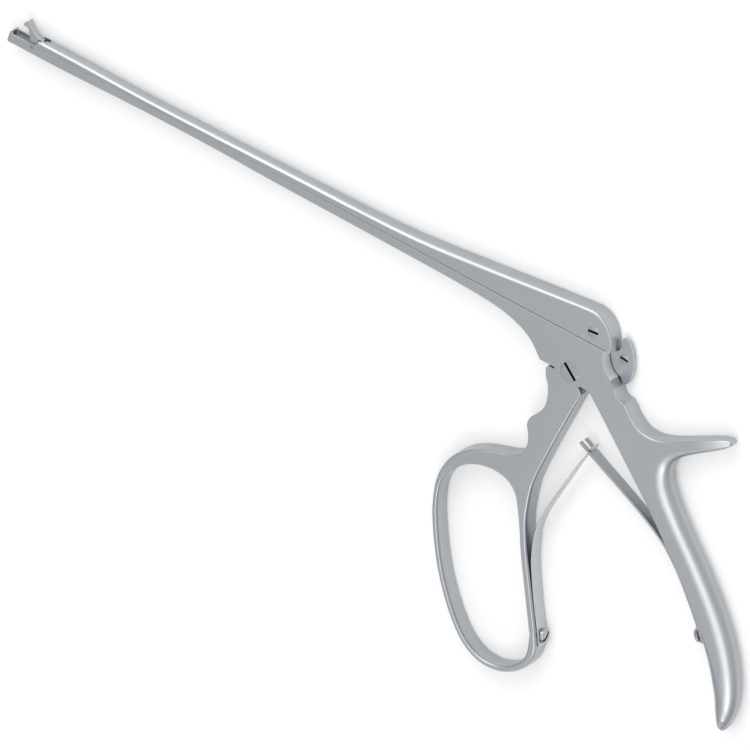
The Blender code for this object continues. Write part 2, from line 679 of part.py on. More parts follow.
def build_slider():
    """Upper shaft with its rail, the fork for the jaw, the grooves for the link pin and the slot for the lever."""
    slider = rounded_plate("slider", [slider_outline()], 0.0, BODY_THICKNESS, PARTS, SATIN_STEEL)
    taper(slider)
    rail = rail_section(0.0, SLIDER_Y + 0.5)
    join(slider, prism("slider_rail", rail, RAIL_FRONT_X, RAIL_REAR_X, CUTTERS, True))
    half_jaw = JAW_WIDTH / 2 + JAW_SIDE_GAP
    fork = [(SLIDER_FRONT_X - 2, MID_Z - half_jaw), (WINDOW_REAR_X, MID_Z - half_jaw),
            (WINDOW_REAR_X, MID_Z + half_jaw), (SLIDER_FRONT_X - 2, MID_Z + half_jaw)]
    cut(slider, upright_prism("jaw_fork", fork, SEAM_Y - 2, 20.0))
    pin_x, _ = link_pin_at()
    reach = LINK_PIN_RADIUS + LINK_SLOT_GAP
    top = JAW_PIVOT[1] + CRANK_RADIUS + reach
    half_pin = LINK_PIN_LENGTH / 2 + LINK_SLOT_GAP
    cut(slider, block("link_groove", (pin_x - reach, SEAM_Y - 1, MID_Z - half_pin), (pin_x + reach, top, MID_Z + half_pin),
                      CUTTERS))
    half_slot = TANG_THICKNESS / 2 + FIT_GAP
    ceiling = DRIVE_PIN[1] + TANG_TOP_RADIUS + 0.7
    cut(slider, block("slider_tang_slot", (DRIVE_SLIDER_SLOT[0], SEAM_Y - 1, MID_Z - half_slot),
                      (DRIVE_SLIDER_SLOT[1], ceiling, MID_Z + half_slot), CUTTERS))
    head, head_height, shank, _, _ = DRIVE_SCREW
    cut(slider, cylinder("drive_bore", DRIVE_PIN, shank + SCREW_GAP, SCREW_BLIND - 0.2, BODY_THICKNESS + 2, CUTTERS))
    cut(slider, cylinder("drive_counterbore", DRIVE_PIN, head + SCREW_GAP, BODY_THICKNESS - head_height - 0.2,
                         BODY_THICKNESS + 2, CUTTERS))
    return slider


def build_upper_jaw():
    """Toothed jaw that hooks down into the basket, with its crank bore."""
    x, y = JAW_PIVOT
    back = smooth([(x + 2.5, y + 1.7), (x + 2.2, y + 2.8), (x + 1.1, y + 3.4), (x - 0.6, y + 4.1), (x - 2.1, y + 5.2),
                   (x - 3.7, y + 6.7)], 3)
    brow = smooth([(x - 3.7, y + 6.7), (x - 4.8, y + 5.9), (x - 5.8, y + 4.85)], 3)
    tooth = [(x - 5.8, y + 4.85), (x - 5.3, y + 4.3)]
    mouth = smooth([(x - 5.3, y + 4.3), (x - 4.5, y + 4.8), (x - 3.7, y + 4.6), (x - 2.9, y + 3.6), (x - 2.4, y + 2.4),
                    (x - 2.1, y + 1.1), (x - 1.66, y)], 3)
    hub = arc(JAW_PIVOT, 1.66, 180, 350, 10)
    heel = [hub[-1], (x + 2.5, y + 1.7)]
    outline = closed((back, 0.3, 0.3), (brow, 0.3, 0.3), (tooth, 0.1, 0.1), (mouth, 0.15, 0.15), (hub, 0.1, 0.1),
                     (heel, 0.1, 0.1))
    half = JAW_WIDTH / 2
    jaw = rounded_plate("upper_jaw", [outline], MID_Z - half, MID_Z + half, PARTS, SATIN_STEEL)
    for vert in jaw.data.vertices:
        reach = min(max((math.dist(vert.co[:2], (x * MM, y * MM)) / MM - 3.5) / 4.0, 0.0), 1.0)
        vert.co.z = (MID_Z + (vert.co.z / MM - MID_Z) * (1 - CLAW_NARROWING * reach)) * MM
    cut(jaw, cylinder("jaw_hub_bore", JAW_PIVOT, JAW_PIN_RADIUS + JAW_PIN_GAP, 0, BODY_THICKNESS, CUTTERS, sides=20))
    cut(jaw, cylinder("jaw_crank_bore", link_pin_at(), LINK_PIN_RADIUS + JAW_PIN_GAP, 0, BODY_THICKNESS, CUTTERS, sides=20))
    return set_origin(jaw, *JAW_PIVOT)


def build_jaw_pins(jaw):
    """Pivot pin across the shaft's walls and link pin in the jaw's crank."""
    half = SHAFT_WIDTH / 2
    pivot = cylinder("jaw_pivot_pin", JAW_PIVOT, JAW_PIN_RADIUS, MID_Z - half + 0.05, MID_Z + half - 0.05, PARTS,
                     SCREW_STEEL, sides=20)
    half = LINK_PIN_LENGTH / 2
    link = cylinder("jaw_link_pin", link_pin_at(), LINK_PIN_RADIUS, MID_Z - half, MID_Z + half, PARTS, SCREW_STEEL,
                    sides=20)
    parent_to(link, jaw)
    return pivot, link


def parent_to(child, parent):
    """Parent a piece to what carries it and keep its place."""
    bpy.context.view_layer.update()
    child.parent = parent
    child.matrix_parent_inverse = parent.matrix_world.inverted()


def lever_outlines():
    """Outer edge of the lever and its ring, and the finger hole inside it."""
    seat_radius = BOSS_RADIUS + FIT_GAP
    shoulder_y = LEVER_SHOULDER_Y - FIT_GAP
    left_end = -math.sqrt(seat_radius ** 2 - shoulder_y ** 2)
    left_angle = 180 + math.degrees(math.asin(-shoulder_y / seat_radius))
    seat = arc((0, 0), seat_radius, LEVER_SEAT_END, left_angle, 12)
    shoulder = [(left_end, shoulder_y), (-7.5, shoulder_y), (-8.0, -2.6)]
    grips = smooth([(-8.0, -2.6)]
                   + grown([(-7.3, -5.0), (-5.4, -8.0), (-4.3, -11.4), (-4.0, -14.6), (-5.0, -17.8), (-7.3, -20.8),
                            (-7.6, -23.4), (-6.2, -26.2), (-5.3, -29.6), (-6.0, -32.9), (-8.8, -35.2),
                            (-14.0, -37.0), (-20.3, -39.4), (-25.2, -42.9), (-28.6, -47.8), (-30.1, -54.2),
                            (-29.3, -61.3), (-26.8, -69.2), (-20.4, -82.2), (-13.1, -92.9), (-5.6, -100.9),
                            (0.6, -104.8), (6.9, -106.1), (13.0, -104.9), (17.8, -101.6), (20.8, -96.6),
                            (20.9, -91.8)]) + [LIMB_OUTER[-1]], 3)
    limb = LIMB_OUTER[::-1]
    neck = [LIMB_OUTER[0], (6.1, -5.4), seat[0]]
    outer = closed((seat, 0.1, 0.1), (shoulder, 0.2, 0.2), (grips, (0.45, 0.9), (0.45, 1.2)), (limb, (0.8, 0.5), (1.0, 0.5)),
                   (neck, (0.5, 0.1), (0.5, 0.1)))
    inner_right = offset_path(LIMB_OUTER, -RING_BAND)
    right = [p for p in inner_right if -0.853 * HANDLE_DROP < p[1] < -0.537 * HANDLE_DROP][::-1]
    hole = smooth([right[-1]]
                  + grown([(-0.9, -51.4), (-3.6, -46.9), (-7.4, -44.2), (-12.2, -43.3), (-17.0, -43.9),
                           (-21.6, -45.9), (-25.4, -49.6), (-27.7, -55.0), (-27.1, -61.0), (-24.6, -68.4),
                           (-18.3, -81.3), (-11.2, -91.6), (-4.2, -99.1), (1.6, -102.7), (7.0, -103.8),
                           (12.1, -102.7), (16.0, -99.9), (18.1, -95.8)]) + [right[0]], 3)
    finger_hole = closed((right, 0.55, 1.2), (hole, 0.55, 1.2))
    return outer, finger_hole[::-1]


def build_finger_handle():
    """Lever with its finger ring and the thin tang that reaches up to the slider."""
    outer, hole = lever_outlines()
    outer = outer[::-1] if signed_area(outer) < 0 else outer
    hole = hole[::-1] if signed_area(hole) > 0 else hole
    lever = rounded_plate("finger_handle", [outer, hole], 0.0, BODY_THICKNESS, PARTS, SATIN_STEEL)
    lean = math.atan2(DRIVE_PIN[0], DRIVE_PIN[1])
    side = Vector((math.cos(lean), -math.sin(lean)))
    top = Vector(DRIVE_PIN)
    root = TANG_ROOT_RADIUS
    lean_degrees = math.degrees(lean)
    tang = [(-root, -9.0), (root, -9.0)] + arc((0, 0), root, 0, 70 - lean_degrees, 5)
    tang += arc(DRIVE_PIN, TANG_TOP_RADIUS, -lean_degrees, 180 - lean_degrees, 10)
    tang += arc((0, 0), root, 110 - lean_degrees, 180, 5)
    half = TANG_THICKNESS / 2
    join(lever, prism("lever_tang", tang, MID_Z - half, MID_Z + half, CUTTERS))
    cut(lever, cylinder("tang_bore", (0, 0), PIVOT_SCREW[2] + SCREW_GAP, 1.0, BODY_THICKNESS - 1, CUTTERS))
    along = Vector((math.sin(lean), math.cos(lean)))
    low = top - along * 0.45
    high = top + along * 0.25
    hole_outline = stadium(tuple(low), tuple(high), DRIVE_SCREW[2] + SCREW_GAP)
    cut(lever, prism("drive_slot", hole_outline, 1.0, BODY_THICKNESS - 1, CUTTERS))
    cut(lever, seat_bore("front_spring_bore", FRONT_SEAT, SPRING_SCREW[2] + SCREW_GAP, SCREW_DEPTH, 3.0))
    return lever


def signed_area(outline):
    """Twice the area inside an outline, positive when it runs anticlockwise."""
    total = 0.0
    for a, b in zip(outline, outline[1:] + outline[:1]):
        total += a[0] * b[1] - b[0] * a[1]
    return total


def strip(name, path, half_widths, material):
    """A leaf spring: a flat section carried along a path, its width eased along the length."""
    bm = bmesh.new()
    left = offset_path(path, SPRING_THICKNESS / 2)
    right = offset_path(path, -SPRING_THICKNESS / 2)
    rings = []
    for a, b, half in zip(left, right, half_widths):
        corners = ((a, -half), (b, -half), (b, half), (a, half))
        rings.append([bm.verts.new((p[0], p[1], MID_Z + z)) for p, z in corners])
    for lower, upper in zip(rings, rings[1:]):
        for i in range(4):
            bm.faces.new((lower[i], lower[(i + 1) % 4], upper[(i + 1) % 4], upper[i]))
    bm.faces.new(rings[0][::-1])
    bm.faces.new(rings[-1])
    return add_mesh(name, bm, PARTS, material)


def build_front_spring(lever):
    """Narrowing leaf spring on the ring limb, with the cross hook at its end."""
    lift = SPRING_THICKNESS / 2 + FIT_GAP
    clamped = offset_path([p for p in LIMB_OUTER if p[1] < -0.551 * HANDLE_DROP], lift)[::-1]
    free = smooth([clamped[-1]] + grown([(7.75, -54.0), (8.0, -48.0), (9.7, -40.0), (12.0, -31.5), (14.3, -23.2),
                                         (14.85, -21.3)]), 4)
    path = clamped + free[1:]
    halves = []
    for x, y in path:
        share = min(max((y + 60.0) / 36.0, 0.0), 1.0)
        halves.append((FRONT_SPRING_WIDTH + (FRONT_SPRING_TIP_WIDTH - FRONT_SPRING_WIDTH) * share) / 2)
    spring = strip("front_leaf_spring", path, halves, SPRING_STEEL)
    hook = cylinder("front_spring_hook", path[-1], HOOK_RADIUS, MID_Z - HOOK_LENGTH / 2, MID_Z + HOOK_LENGTH / 2, CUTTERS,
                    sides=16)
    join(spring, hook)
    cut(spring, seat_bore("front_spring_hole", FRONT_SEAT, SPRING_SCREW[2] + SCREW_GAP, 1.0, 3.0))
    set_origin(spring, *FRONT_FLEX_AXIS)
    parent_to(spring, lever)
    return spring


def build_rear_spring(frame):
    """Wide leaf spring on the rear handle, forked at its end around the front spring."""
    lift = SPRING_THICKNESS / 2 + FIT_GAP
    clamped = offset_path([p for p in HANDLE_INNER if -0.627 * HANDLE_DROP < p[1] < -0.415 * HANDLE_DROP], -lift)[::-1]
    free = smooth([clamped[-1]] + grown([(48.6, -38.9), (39.8, -33.9), (29.2, -29.0), (19.9, -25.0), (10.6, -20.9)]),
                  4)
    path = clamped + free[1:]
    spring = strip("rear_leaf_spring", path, [REAR_SPRING_WIDTH / 2] * len(path), SPRING_STEEL)
    half = FORK_SLOT_WIDTH / 2
    fork = grown([(14.6, -22.7)])[0]
    lean = Matrix.Translation((fork[0], fork[1], MID_Z)) @ Matrix.Rotation(math.radians(-24), 4, "Z")
    cut(spring, block("fork_slot", (-8.0, -3.0, -half), (1.6, 3.0, half), CUTTERS, lean))
    cut(spring, seat_bore("rear_spring_hole", REAR_SEAT, SPRING_SCREW[2] + SCREW_GAP, 1.0, 3.0))
    set_origin(spring, *REAR_FLEX_AXIS)
    parent_to(spring, frame)
    return spring


def build_spring_screws(lever, frame):
    """Cheese-head screw on the lever and low domed screw on the rear handle."""
    lift = SPRING_THICKNESS + FIT_GAP * 2 + SPRING_SCREW[1]
    front = turned_screw("front_spring_screw", SPRING_SCREW, SPRING_SCREW[1] + SCREW_DEPTH, PARTS, slot_angle=30)
    item = place_on_seat(front, FRONT_SEAT, lift)
    parent_to(item, lever)
    sizes = (SPRING_SCREW[0], 0.9, SPRING_SCREW[2], SPRING_SCREW[3], 0.5)
    rear = turned_screw("rear_spring_screw", sizes, 0.9 + SCREW_DEPTH, PARTS, dome=0.6, slot_angle=75)
    item = place_on_seat(rear, REAR_SEAT, SPRING_THICKNESS + FIT_GAP * 2 + 0.9)
    parent_to(item, frame)


def place_on_seat(made, seat, lift):
    """Stand a turned screw on a spring seat."""
    turn = seat_matrix(seat, lift)
    world = Matrix.Translation(turn.translation * MM) @ turn.to_3x3().to_4x4()
    for item in made:
        item.matrix_world = world
    return made[0]


def stop_plate_outline():
    """Leaf-shaped plate that closes the slide behind the slider."""
    inner = arc(RECESS_CENTRE, RECESS_RADIUS - FIT_GAP, 248, 190, 10)
    edge = [inner[-1], (10.4, 10.9), (13.5, 15.9)]
    rear = smooth([(13.5, 15.9), (15.2, 14.6), (17.0, 11.6), (18.2, 8.4), (18.4, 5.2), (17.6, 2.9), (16.2, 2.3), inner[0]], 3)
    outline = closed((rear[::-1], 0.3, 0.3), (edge[::-1], 0.2, 0.2), (inner[::-1], 0.15, 0.15))
    return outline if signed_area(outline) > 0 else outline[::-1]


def build_stop_plate():
    """Stop plate and the slotted screw that holds it on the cheek."""
    low = CHEEK_THICKNESS + STOP_PLATE_GAP
    high = low + STOP_PLATE_THICKNESS
    plate = rounded_plate("slider_stop_plate", [stop_plate_outline()], low, high, PARTS, SATIN_STEEL, steps=2)
    head, head_height, shank, _, _ = STOP_SCREW
    cut(plate, cylinder("stop_plate_bore", STOP_SCREW_AT, shank + SCREW_GAP, 0, BODY_THICKNESS, CUTTERS, sides=20))
    cut(plate, cylinder("stop_plate_counterbore", STOP_SCREW_AT, head + SCREW_GAP, high - head_height - 0.05,
                        BODY_THICKNESS, CUTTERS))
    screw = turned_screw("stop_plate_screw", STOP_SCREW, high - 0.2, PARTS, slot_angle=-55)
    place(screw, (STOP_SCREW_AT[0], STOP_SCREW_AT[1], high))
    return plate


def build_body_screws(slider):
    """Big pivot screw of the lever and the drive screw that ties the lever's tang to the slider."""
    pivot = turned_screw("handle_pivot_screw", PIVOT_SCREW, BODY_THICKNESS - SCREW_BLIND, PARTS, slot_angle=-31)
    place(pivot, (0, 0, BODY_THICKNESS))
    drive = turned_screw("slider_drive_screw", DRIVE_SCREW, BODY_THICKNESS - SCREW_BLIND, PARTS, slot_angle=5)
    item = place(drive, (DRIVE_PIN[0], DRIVE_PIN[1], BODY_THICKNESS))
    parent_to(item, slider)


def shade(items):
    """Smooth the round faces and keep the crisp edges."""
    for item in items:
        item.data.shade_smooth()
        item.data.set_sharp_from_angle(angle=math.radians(35))


frame_piece = build_frame()
slider_piece = build_slider()
jaw_piece = build_upper_jaw()
build_jaw_pins(jaw_piece)
lever_piece = build_finger_handle()
build_body_screws(slider_piece)
build_stop_plate()
build_front_spring(lever_piece)
build_rear_spring(frame_piece)
build_spring_screws(lever_piece, frame_piece)
shade(PARTS.objects)
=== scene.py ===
"""Satin steel biopsy forceps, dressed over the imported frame.

The visible pieces are numpy surfaces in the frame's own axes: X along the shaft towards the handles, Y
towards the slider, Z out of the flat back. Lengths in the classes are millimetres and become metres where a
mesh is filled.
"""

import logging
import math
from collections.abc import Callable
from dataclasses import dataclass, field
from enum import Enum

import bmesh
import bpy
import numpy as np
from mathutils import Matrix, Vector

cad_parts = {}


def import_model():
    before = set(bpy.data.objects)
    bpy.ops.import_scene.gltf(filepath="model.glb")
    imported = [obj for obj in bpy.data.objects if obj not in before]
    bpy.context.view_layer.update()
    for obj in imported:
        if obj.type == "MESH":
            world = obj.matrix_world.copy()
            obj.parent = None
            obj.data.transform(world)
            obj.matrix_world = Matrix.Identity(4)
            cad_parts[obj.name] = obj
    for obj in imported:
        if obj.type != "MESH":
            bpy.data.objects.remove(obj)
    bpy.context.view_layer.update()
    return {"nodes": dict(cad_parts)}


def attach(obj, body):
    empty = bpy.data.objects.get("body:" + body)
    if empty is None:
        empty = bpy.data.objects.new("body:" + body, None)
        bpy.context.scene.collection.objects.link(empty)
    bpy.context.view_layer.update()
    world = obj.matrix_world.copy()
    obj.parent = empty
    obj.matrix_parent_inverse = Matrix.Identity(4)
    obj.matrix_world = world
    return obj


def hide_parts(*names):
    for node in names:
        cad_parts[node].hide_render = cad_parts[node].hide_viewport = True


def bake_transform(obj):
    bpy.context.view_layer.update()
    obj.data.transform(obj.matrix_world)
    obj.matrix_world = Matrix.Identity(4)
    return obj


LOG = logging.getLogger("biopsy_forceps")
MM = 0.001
MID_Z = 4.0
THICKNESS = 8.0

# Places and sizes that several pieces share
BOSS_RADIUS = 5.6
PIVOT_BORE = 2.12
JAW_PIVOT = (-206.5, 11.0)
JAW_PIVOT_BORE = 0.61
CRANK_RADIUS = 2.5
CRANK_ANGLE = math.radians(50)
JAW_LINK = (JAW_PIVOT[0] + CRANK_RADIUS * math.cos(CRANK_ANGLE),
            JAW_PIVOT[1] + CRANK_RADIUS * math.sin(CRANK_ANGLE))
DRIVE_SCREW = (2.8, 16.1)
STOP_SCREW = (13.6, 10.0)
STOP_BORE = 0.92
LEAF_CENTRE = (16.5, 11.5)
TANG_SLOT_HALF = 1.45

# Chords in a rounding of the forged pieces
ROUNDING_STEPS = 8

Point = tuple[float, float]
Points = list[Point]


class Body(Enum):
    """The moving bodies of the frame."""

    FRAME = "frame"
    SLIDER = "slider"
    JAW = "upper_jaw"
    LEVER = "finger_handle"
    FRONT_SPRING = "front_spring"
    REAR_SPRING = "rear_spring"


class Slot(Enum):
    """The record's material slots."""

    SATIN = "satin_steel"
    SPRING = "spring_steel"
    SCREW = "screw_steel"


def noise_node(tree: bpy.types.NodeTree, place: bpy.types.NodeSocket, scale: float,
               detail: float) -> bpy.types.NodeSocket:
    """Add a noise texture.

    Args:
        tree: Node tree to add to.
        place: Coordinates that it reads.
        scale: Waves per metre.
        detail: Octaves of finer noise.

    Returns:
        The noise's value.
    """
    made = tree.nodes.new("ShaderNodeTexNoise")
    made.inputs["Scale"].default_value = scale
    made.inputs["Detail"].default_value = detail
    tree.links.new(place, made.inputs["Vector"])
    return made.outputs["Fac"]


def math_node(tree: bpy.types.NodeTree, operation: str, *sources) -> bpy.types.NodeSocket:
    """Add a math node.

    Args:
        tree: Node tree to add to.
        operation: What it does.
        sources: A socket or a number for each input.

    Returns:
        The result.
    """
    made = tree.nodes.new("ShaderNodeMath")
    made.operation = operation
    for socket, source in zip(made.inputs, sources):
        if isinstance(source, float):
            socket.default_value = source
        else:
            tree.links.new(source, socket)
    return made.outputs["Value"]


@dataclass(frozen=True)
class SteelFinish:
    """A satin steel: tone and roughness, with a fine blasted grain and soft, wide tone drifts."""

    name: str
    tone: tuple[float, float, float]
    roughness: float
    grain_mm: float = 0.35
    grain_height: float = 0.02
    grain_strength: float = 0.25
    roughness_swing: float = 0.05
    drift: float = 0.05
    drift_scale: float = 60.0

    def material(self) -> bpy.types.Material:
        """Build the node material once and hand it back.

        Returns:
            The material, with colour, roughness and bump read from Object coordinates.
        """
        made = bpy.data.materials.get(self.name)
        if made:
            return made
        made = bpy.data.materials.new(self.name)
        made.use_nodes = True
        tree = made.node_tree
        nodes, links = tree.nodes, tree.links
        shader = nodes["Principled BSDF"]
        shader.inputs["Metallic"].default_value = 1.0
        place = nodes.new("ShaderNodeTexCoord").outputs["Object"]

        tone = nodes.new("ShaderNodeMix")
        tone.data_type = "RGBA"
        tone.inputs["A"].default_value = (*[c * (1 - self.drift) for c in self.tone], 1.0)
        tone.inputs["B"].default_value = (*[c * (1 + self.drift) for c in self.tone], 1.0)
        links.new(noise_node(tree, place, self.drift_scale, 3.0), tone.inputs["Factor"])
        links.new(tone.outputs["Result"], shader.inputs["Base Color"])

        fine = noise_node(tree, place, 1.0 / (self.grain_mm * MM), 2.0)
        rough = nodes.new("ShaderNodeMapRange")
        rough.inputs["To Min"].default_value = self.roughness - self.roughness_swing
        rough.inputs["To Max"].default_value = self.roughness + self.roughness_swing
        links.new(fine, rough.inputs["Value"])
        links.new(rough.outputs["Result"], shader.inputs["Roughness"])
        bump = nodes.new("ShaderNodeBump")
        bump.inputs["Strength"].default_value = self.grain_strength
        bump.inputs["Distance"].default_value = self.grain_height * MM
        links.new(fine, bump.inputs["Height"])
        links.new(bump.outputs["Normal"], shader.inputs["Normal"])
        return made


SATIN = SteelFinish("satin_forging", (0.425, 0.448, 0.472), 0.36)
SPRING = SteelFinish("spring_strip", (0.36, 0.375, 0.40), 0.30)
BRIGHT_SPRING = SteelFinish("bright_spring_leaf", (0.50, 0.515, 0.54), 0.28)
SCREW = SteelFinish("turned_screw", (0.42, 0.44, 0.46), 0.30)
PIN = SteelFinish("drawn_pin", (0.36, 0.37, 0.39), 0.3)
# Painted light: a near-white tone for the recess wall behind the slider, standing in for the light that wall
# catches
RECESS_WALL_PAINTED_LIGHT = SteelFinish("recess_wall_painted_light", (0.80, 0.81, 0.82), 0.6)
SLOT_SHADE = SteelFinish("slot_shade", (0.03, 0.03, 0.04), 0.6)


def smooth(points: Points, steps: int = 8) -> np.ndarray:
    """A smooth run through chosen points.

    Each span is the cubic Bezier p(t) = (1-t)^3 a + 3(1-t)^2 t b + 3(1-t) t^2 c + t^3 d, with b and c a third
    of the span away from its ends, along the direction from the knot before to the knot after.

    Args:
        points: Knots in the drawing plane.
        steps: Points per span.

    Returns:
        An array of points with the last knot included.
    """
    knots = np.asarray(points, float)
    ahead = np.vstack([knots[1:], knots[-1:]])
    behind = np.vstack([knots[:1], knots[:-1]])
    tangent = ahead - behind
    tangent /= np.linalg.norm(tangent, axis=1, keepdims=True)
    reach = np.linalg.norm(np.diff(knots, axis=0), axis=1, keepdims=True) / 3
    a, d = knots[:-1], knots[1:]
    b, c = a + tangent[:-1] * reach, d - tangent[1:] * reach
    t = (np.arange(steps) / steps)[None, :, None]
    a, b, c, d = (p[:, None, :] for p in (a, b, c, d))
    curve = (1 - t) ** 3 * a + 3 * (1 - t) ** 2 * t * b + 3 * (1 - t) * t**2 * c + t**3 * d
    return np.vstack([curve.reshape(-1, 2), knots[-1:]])


def arc(centre: Point, radius: float, start: float, end: float, steps: int) -> np.ndarray:
    """Points on a circle: centre + radius (cos a, sin a), with a in degrees from start to end.

    Args:
        centre: Circle's centre.
        radius: Circle's radius.
        start: First angle.
        end: Last angle.
        steps: Number of chords.

    Returns:
        An array of steps + 1 points.
    """
    a = np.radians(np.linspace(start, end, steps + 1))
    return np.column_stack([centre[0] + radius * np.cos(a), centre[1] + radius * np.sin(a)])


def stadium(start: np.ndarray, end: np.ndarray, radius: float, steps: int = 12) -> np.ndarray:
    """A slot's outline: half a circle about each end.

    Args:
        start: Centre of the first end.
        end: Centre of the other end.
        radius: Half the slot's width.
        steps: Chords in each half circle.

    Returns:
        The closed outline, anticlockwise.
    """
    along = np.subtract(end, start)
    heading = math.degrees(math.atan2(along[1], along[0]))
    return np.vstack([
        arc(tuple(start), radius, heading + 90, heading + 270, steps),
        arc(tuple(end), radius, heading - 90, heading + 90, steps),
    ])


# Points of an outline that lie closer together count as one, and smaller roundings need no limit
SHORTEST_STEP = 0.015
SMALL_ROUNDING = 0.6


@dataclass
class Outline:
    """A closed outline with an edge rounding that changes along it.

    Rows are x, y, in-plane rounding, depth rounding and the largest rounding as a share of the metal's width.
    """

    rows: np.ndarray

    @classmethod
    def of(cls, *runs: tuple, cap: float = 0.46) -> "Outline":
        """Join runs of (points, in-plane rounding, depth rounding) end to end.

        Args:
            runs: Each rounding is a number, or several that follow each other evenly along the run; a fourth
                entry replaces the cap.
            cap: Largest rounding as a share of the metal's width.

        Returns:
            The outline, without doubled points and running anticlockwise.
        """
        parts = []
        for points, inset, depth, *own in runs:
            points = np.asarray(points, float)
            share = np.linspace(0.0, 1.0, len(points))
            columns = [points]
            for value in (inset, depth):
                values = value if isinstance(value, tuple) else (value, value)
                columns.append(np.interp(share, np.linspace(0, 1, len(values)), values)[:, None])
            columns.append(np.full((len(points), 1), own[0] if own else cap))
            parts.append(np.hstack(columns))
        rows = np.vstack(parts)
        step = np.linalg.norm(rows[:, :2] - np.roll(rows[:, :2], 1, axis=0), axis=1)
        rows = rows[step > SHORTEST_STEP]
        made = cls(rows)
        made = made if made.area() > 0 else cls(rows[::-1])
        return made.limited()

    def limited(self) -> "Outline":
        """Keep each rounding under its share of the metal's width, so that two sides' roundings never meet.

        The width at point p with inward direction n is the least t for which p + t n lies on another edge.

        Returns:
            The outline with wide roundings cut down.
        """
        here = self.rows[:, :2]
        n = self.inward()
        n = n / np.linalg.norm(n, axis=1, keepdims=True)
        a = here[None, :, :] - here[:, None, :]
        edge = (np.roll(here, -1, axis=0) - here)[None, :, :]
        spread = n[:, None, 0] * edge[..., 1] - n[:, None, 1] * edge[..., 0]
        spread = np.where(np.abs(spread) < 1e-9, np.nan, spread)
        reach = (a[..., 0] * edge[..., 1] - a[..., 1] * edge[..., 0]) / spread
        along = (a[..., 0] * n[:, None, 1] - a[..., 1] * n[:, None, 0]) / spread
        hit = (along >= 0) & (along <= 1) & (reach > 1e-3)
        count = len(here)
        i = np.arange(count)
        hit[i, i] = False
        hit[i, i - 1] = False
        width = np.where(hit, reach, np.inf).min(axis=1)
        rows = self.rows.copy()
        wide = rows[:, 2] > SMALL_ROUNDING
        rows[wide, 2] = np.minimum(rows[wide, 2], rows[wide, 4] * width[wide])
        return Outline(rows)

    def area(self) -> float:
        """Signed area: half the sum of x y' - x' y round the outline."""
        x, y = self.rows[:, 0], self.rows[:, 1]
        return float(np.sum(x * np.roll(y, -1) - np.roll(x, -1) * y)) / 2

    def reversed(self) -> "Outline":
        """The same outline, run the other way, as a hole needs."""
        return Outline(self.rows[::-1])

    def inward(self) -> np.ndarray:
        """Vectors into the material, on the left, lengthened from one where two edges meet at an angle."""
        here = self.rows[:, :2]
        before = here - np.roll(here, 1, axis=0)
        after = np.roll(here, -1, axis=0) - here
        before /= np.linalg.norm(before, axis=1, keepdims=True)
        after /= np.linalg.norm(after, axis=1, keepdims=True)
        left = np.column_stack([-(before + after)[:, 1], (before + after)[:, 0]])
        left /= np.maximum(np.linalg.norm(left, axis=1, keepdims=True), 1e-9)
        lean = np.maximum(np.sum(left * np.column_stack([-after[:, 1], after[:, 0]]), axis=1), 0.55)
        return left / lean[:, None]

    def wall(self, low: float, high: float, steps: int, sweep: float = 90.0) -> np.ndarray:
        """The side wall as rings.

        The ring at turn a, from 0 to the sweep s, lies at p + inward * inset * (1 - cos a) / (1 - cos s),
        at a height of high - depth * (1 - sin a / sin s), and likewise about the low face. A sweep under
        90 degrees leaves a crisp edge at the face.

        Args:
            low: Height of the back face.
            high: Height of the front face.
            steps: Chords in each rounding.
            sweep: Turn of each rounding, in degrees.

        Returns:
            An array of rings, points and coordinates.
        """
        turn = np.radians(np.linspace(0, sweep, steps + 1))
        inward = self.inward()
        inset, depth = self.rows[:, 2], self.rows[:, 3]
        shift = ((1 - np.cos(turn)) / (1 - np.cos(turn[-1])))[:, None] * inset[None, :]
        drop = (1 - np.sin(turn) / np.sin(turn[-1]))[:, None] * depth[None, :]
        flat = self.rows[None, :, :2] + inward[None] * shift[:, :, None]
        upper = np.dstack([flat, high - drop])
        lower = np.dstack([flat, low + drop])[::-1]
        return np.vstack([lower, upper])


def ring_faces(rings: int, count: int, start: int = 0) -> np.ndarray:
    """Quads between neighbouring closed rings of count points, the first vertex at start."""
    i = np.arange(count)
    j = (i + 1) % count
    k = (np.arange(rings - 1) * count)[:, None]
    quads = np.stack([i + k, j + k, j + k + count, i + k + count], axis=-1)
    return quads.reshape(-1, 4) + start


def fill_mesh(name: str, vertices: np.ndarray, faces: list) -> bpy.types.Object:
    """Fill a mesh from arrays in millimetres and link its object.

    Args:
        name: Piece name.
        vertices: Points in millimetres.
        faces: Lists of vertex numbers.

    Returns:
        The new object at the origin.
    """
    mesh = bpy.data.meshes.new(name)
    mesh.from_pydata((np.asarray(vertices) * MM).tolist(), [], [list(map(int, f)) for f in faces])
    mesh.update()
    made = bpy.data.objects.new(name, mesh)
    bpy.context.scene.collection.objects.link(made)
    return made


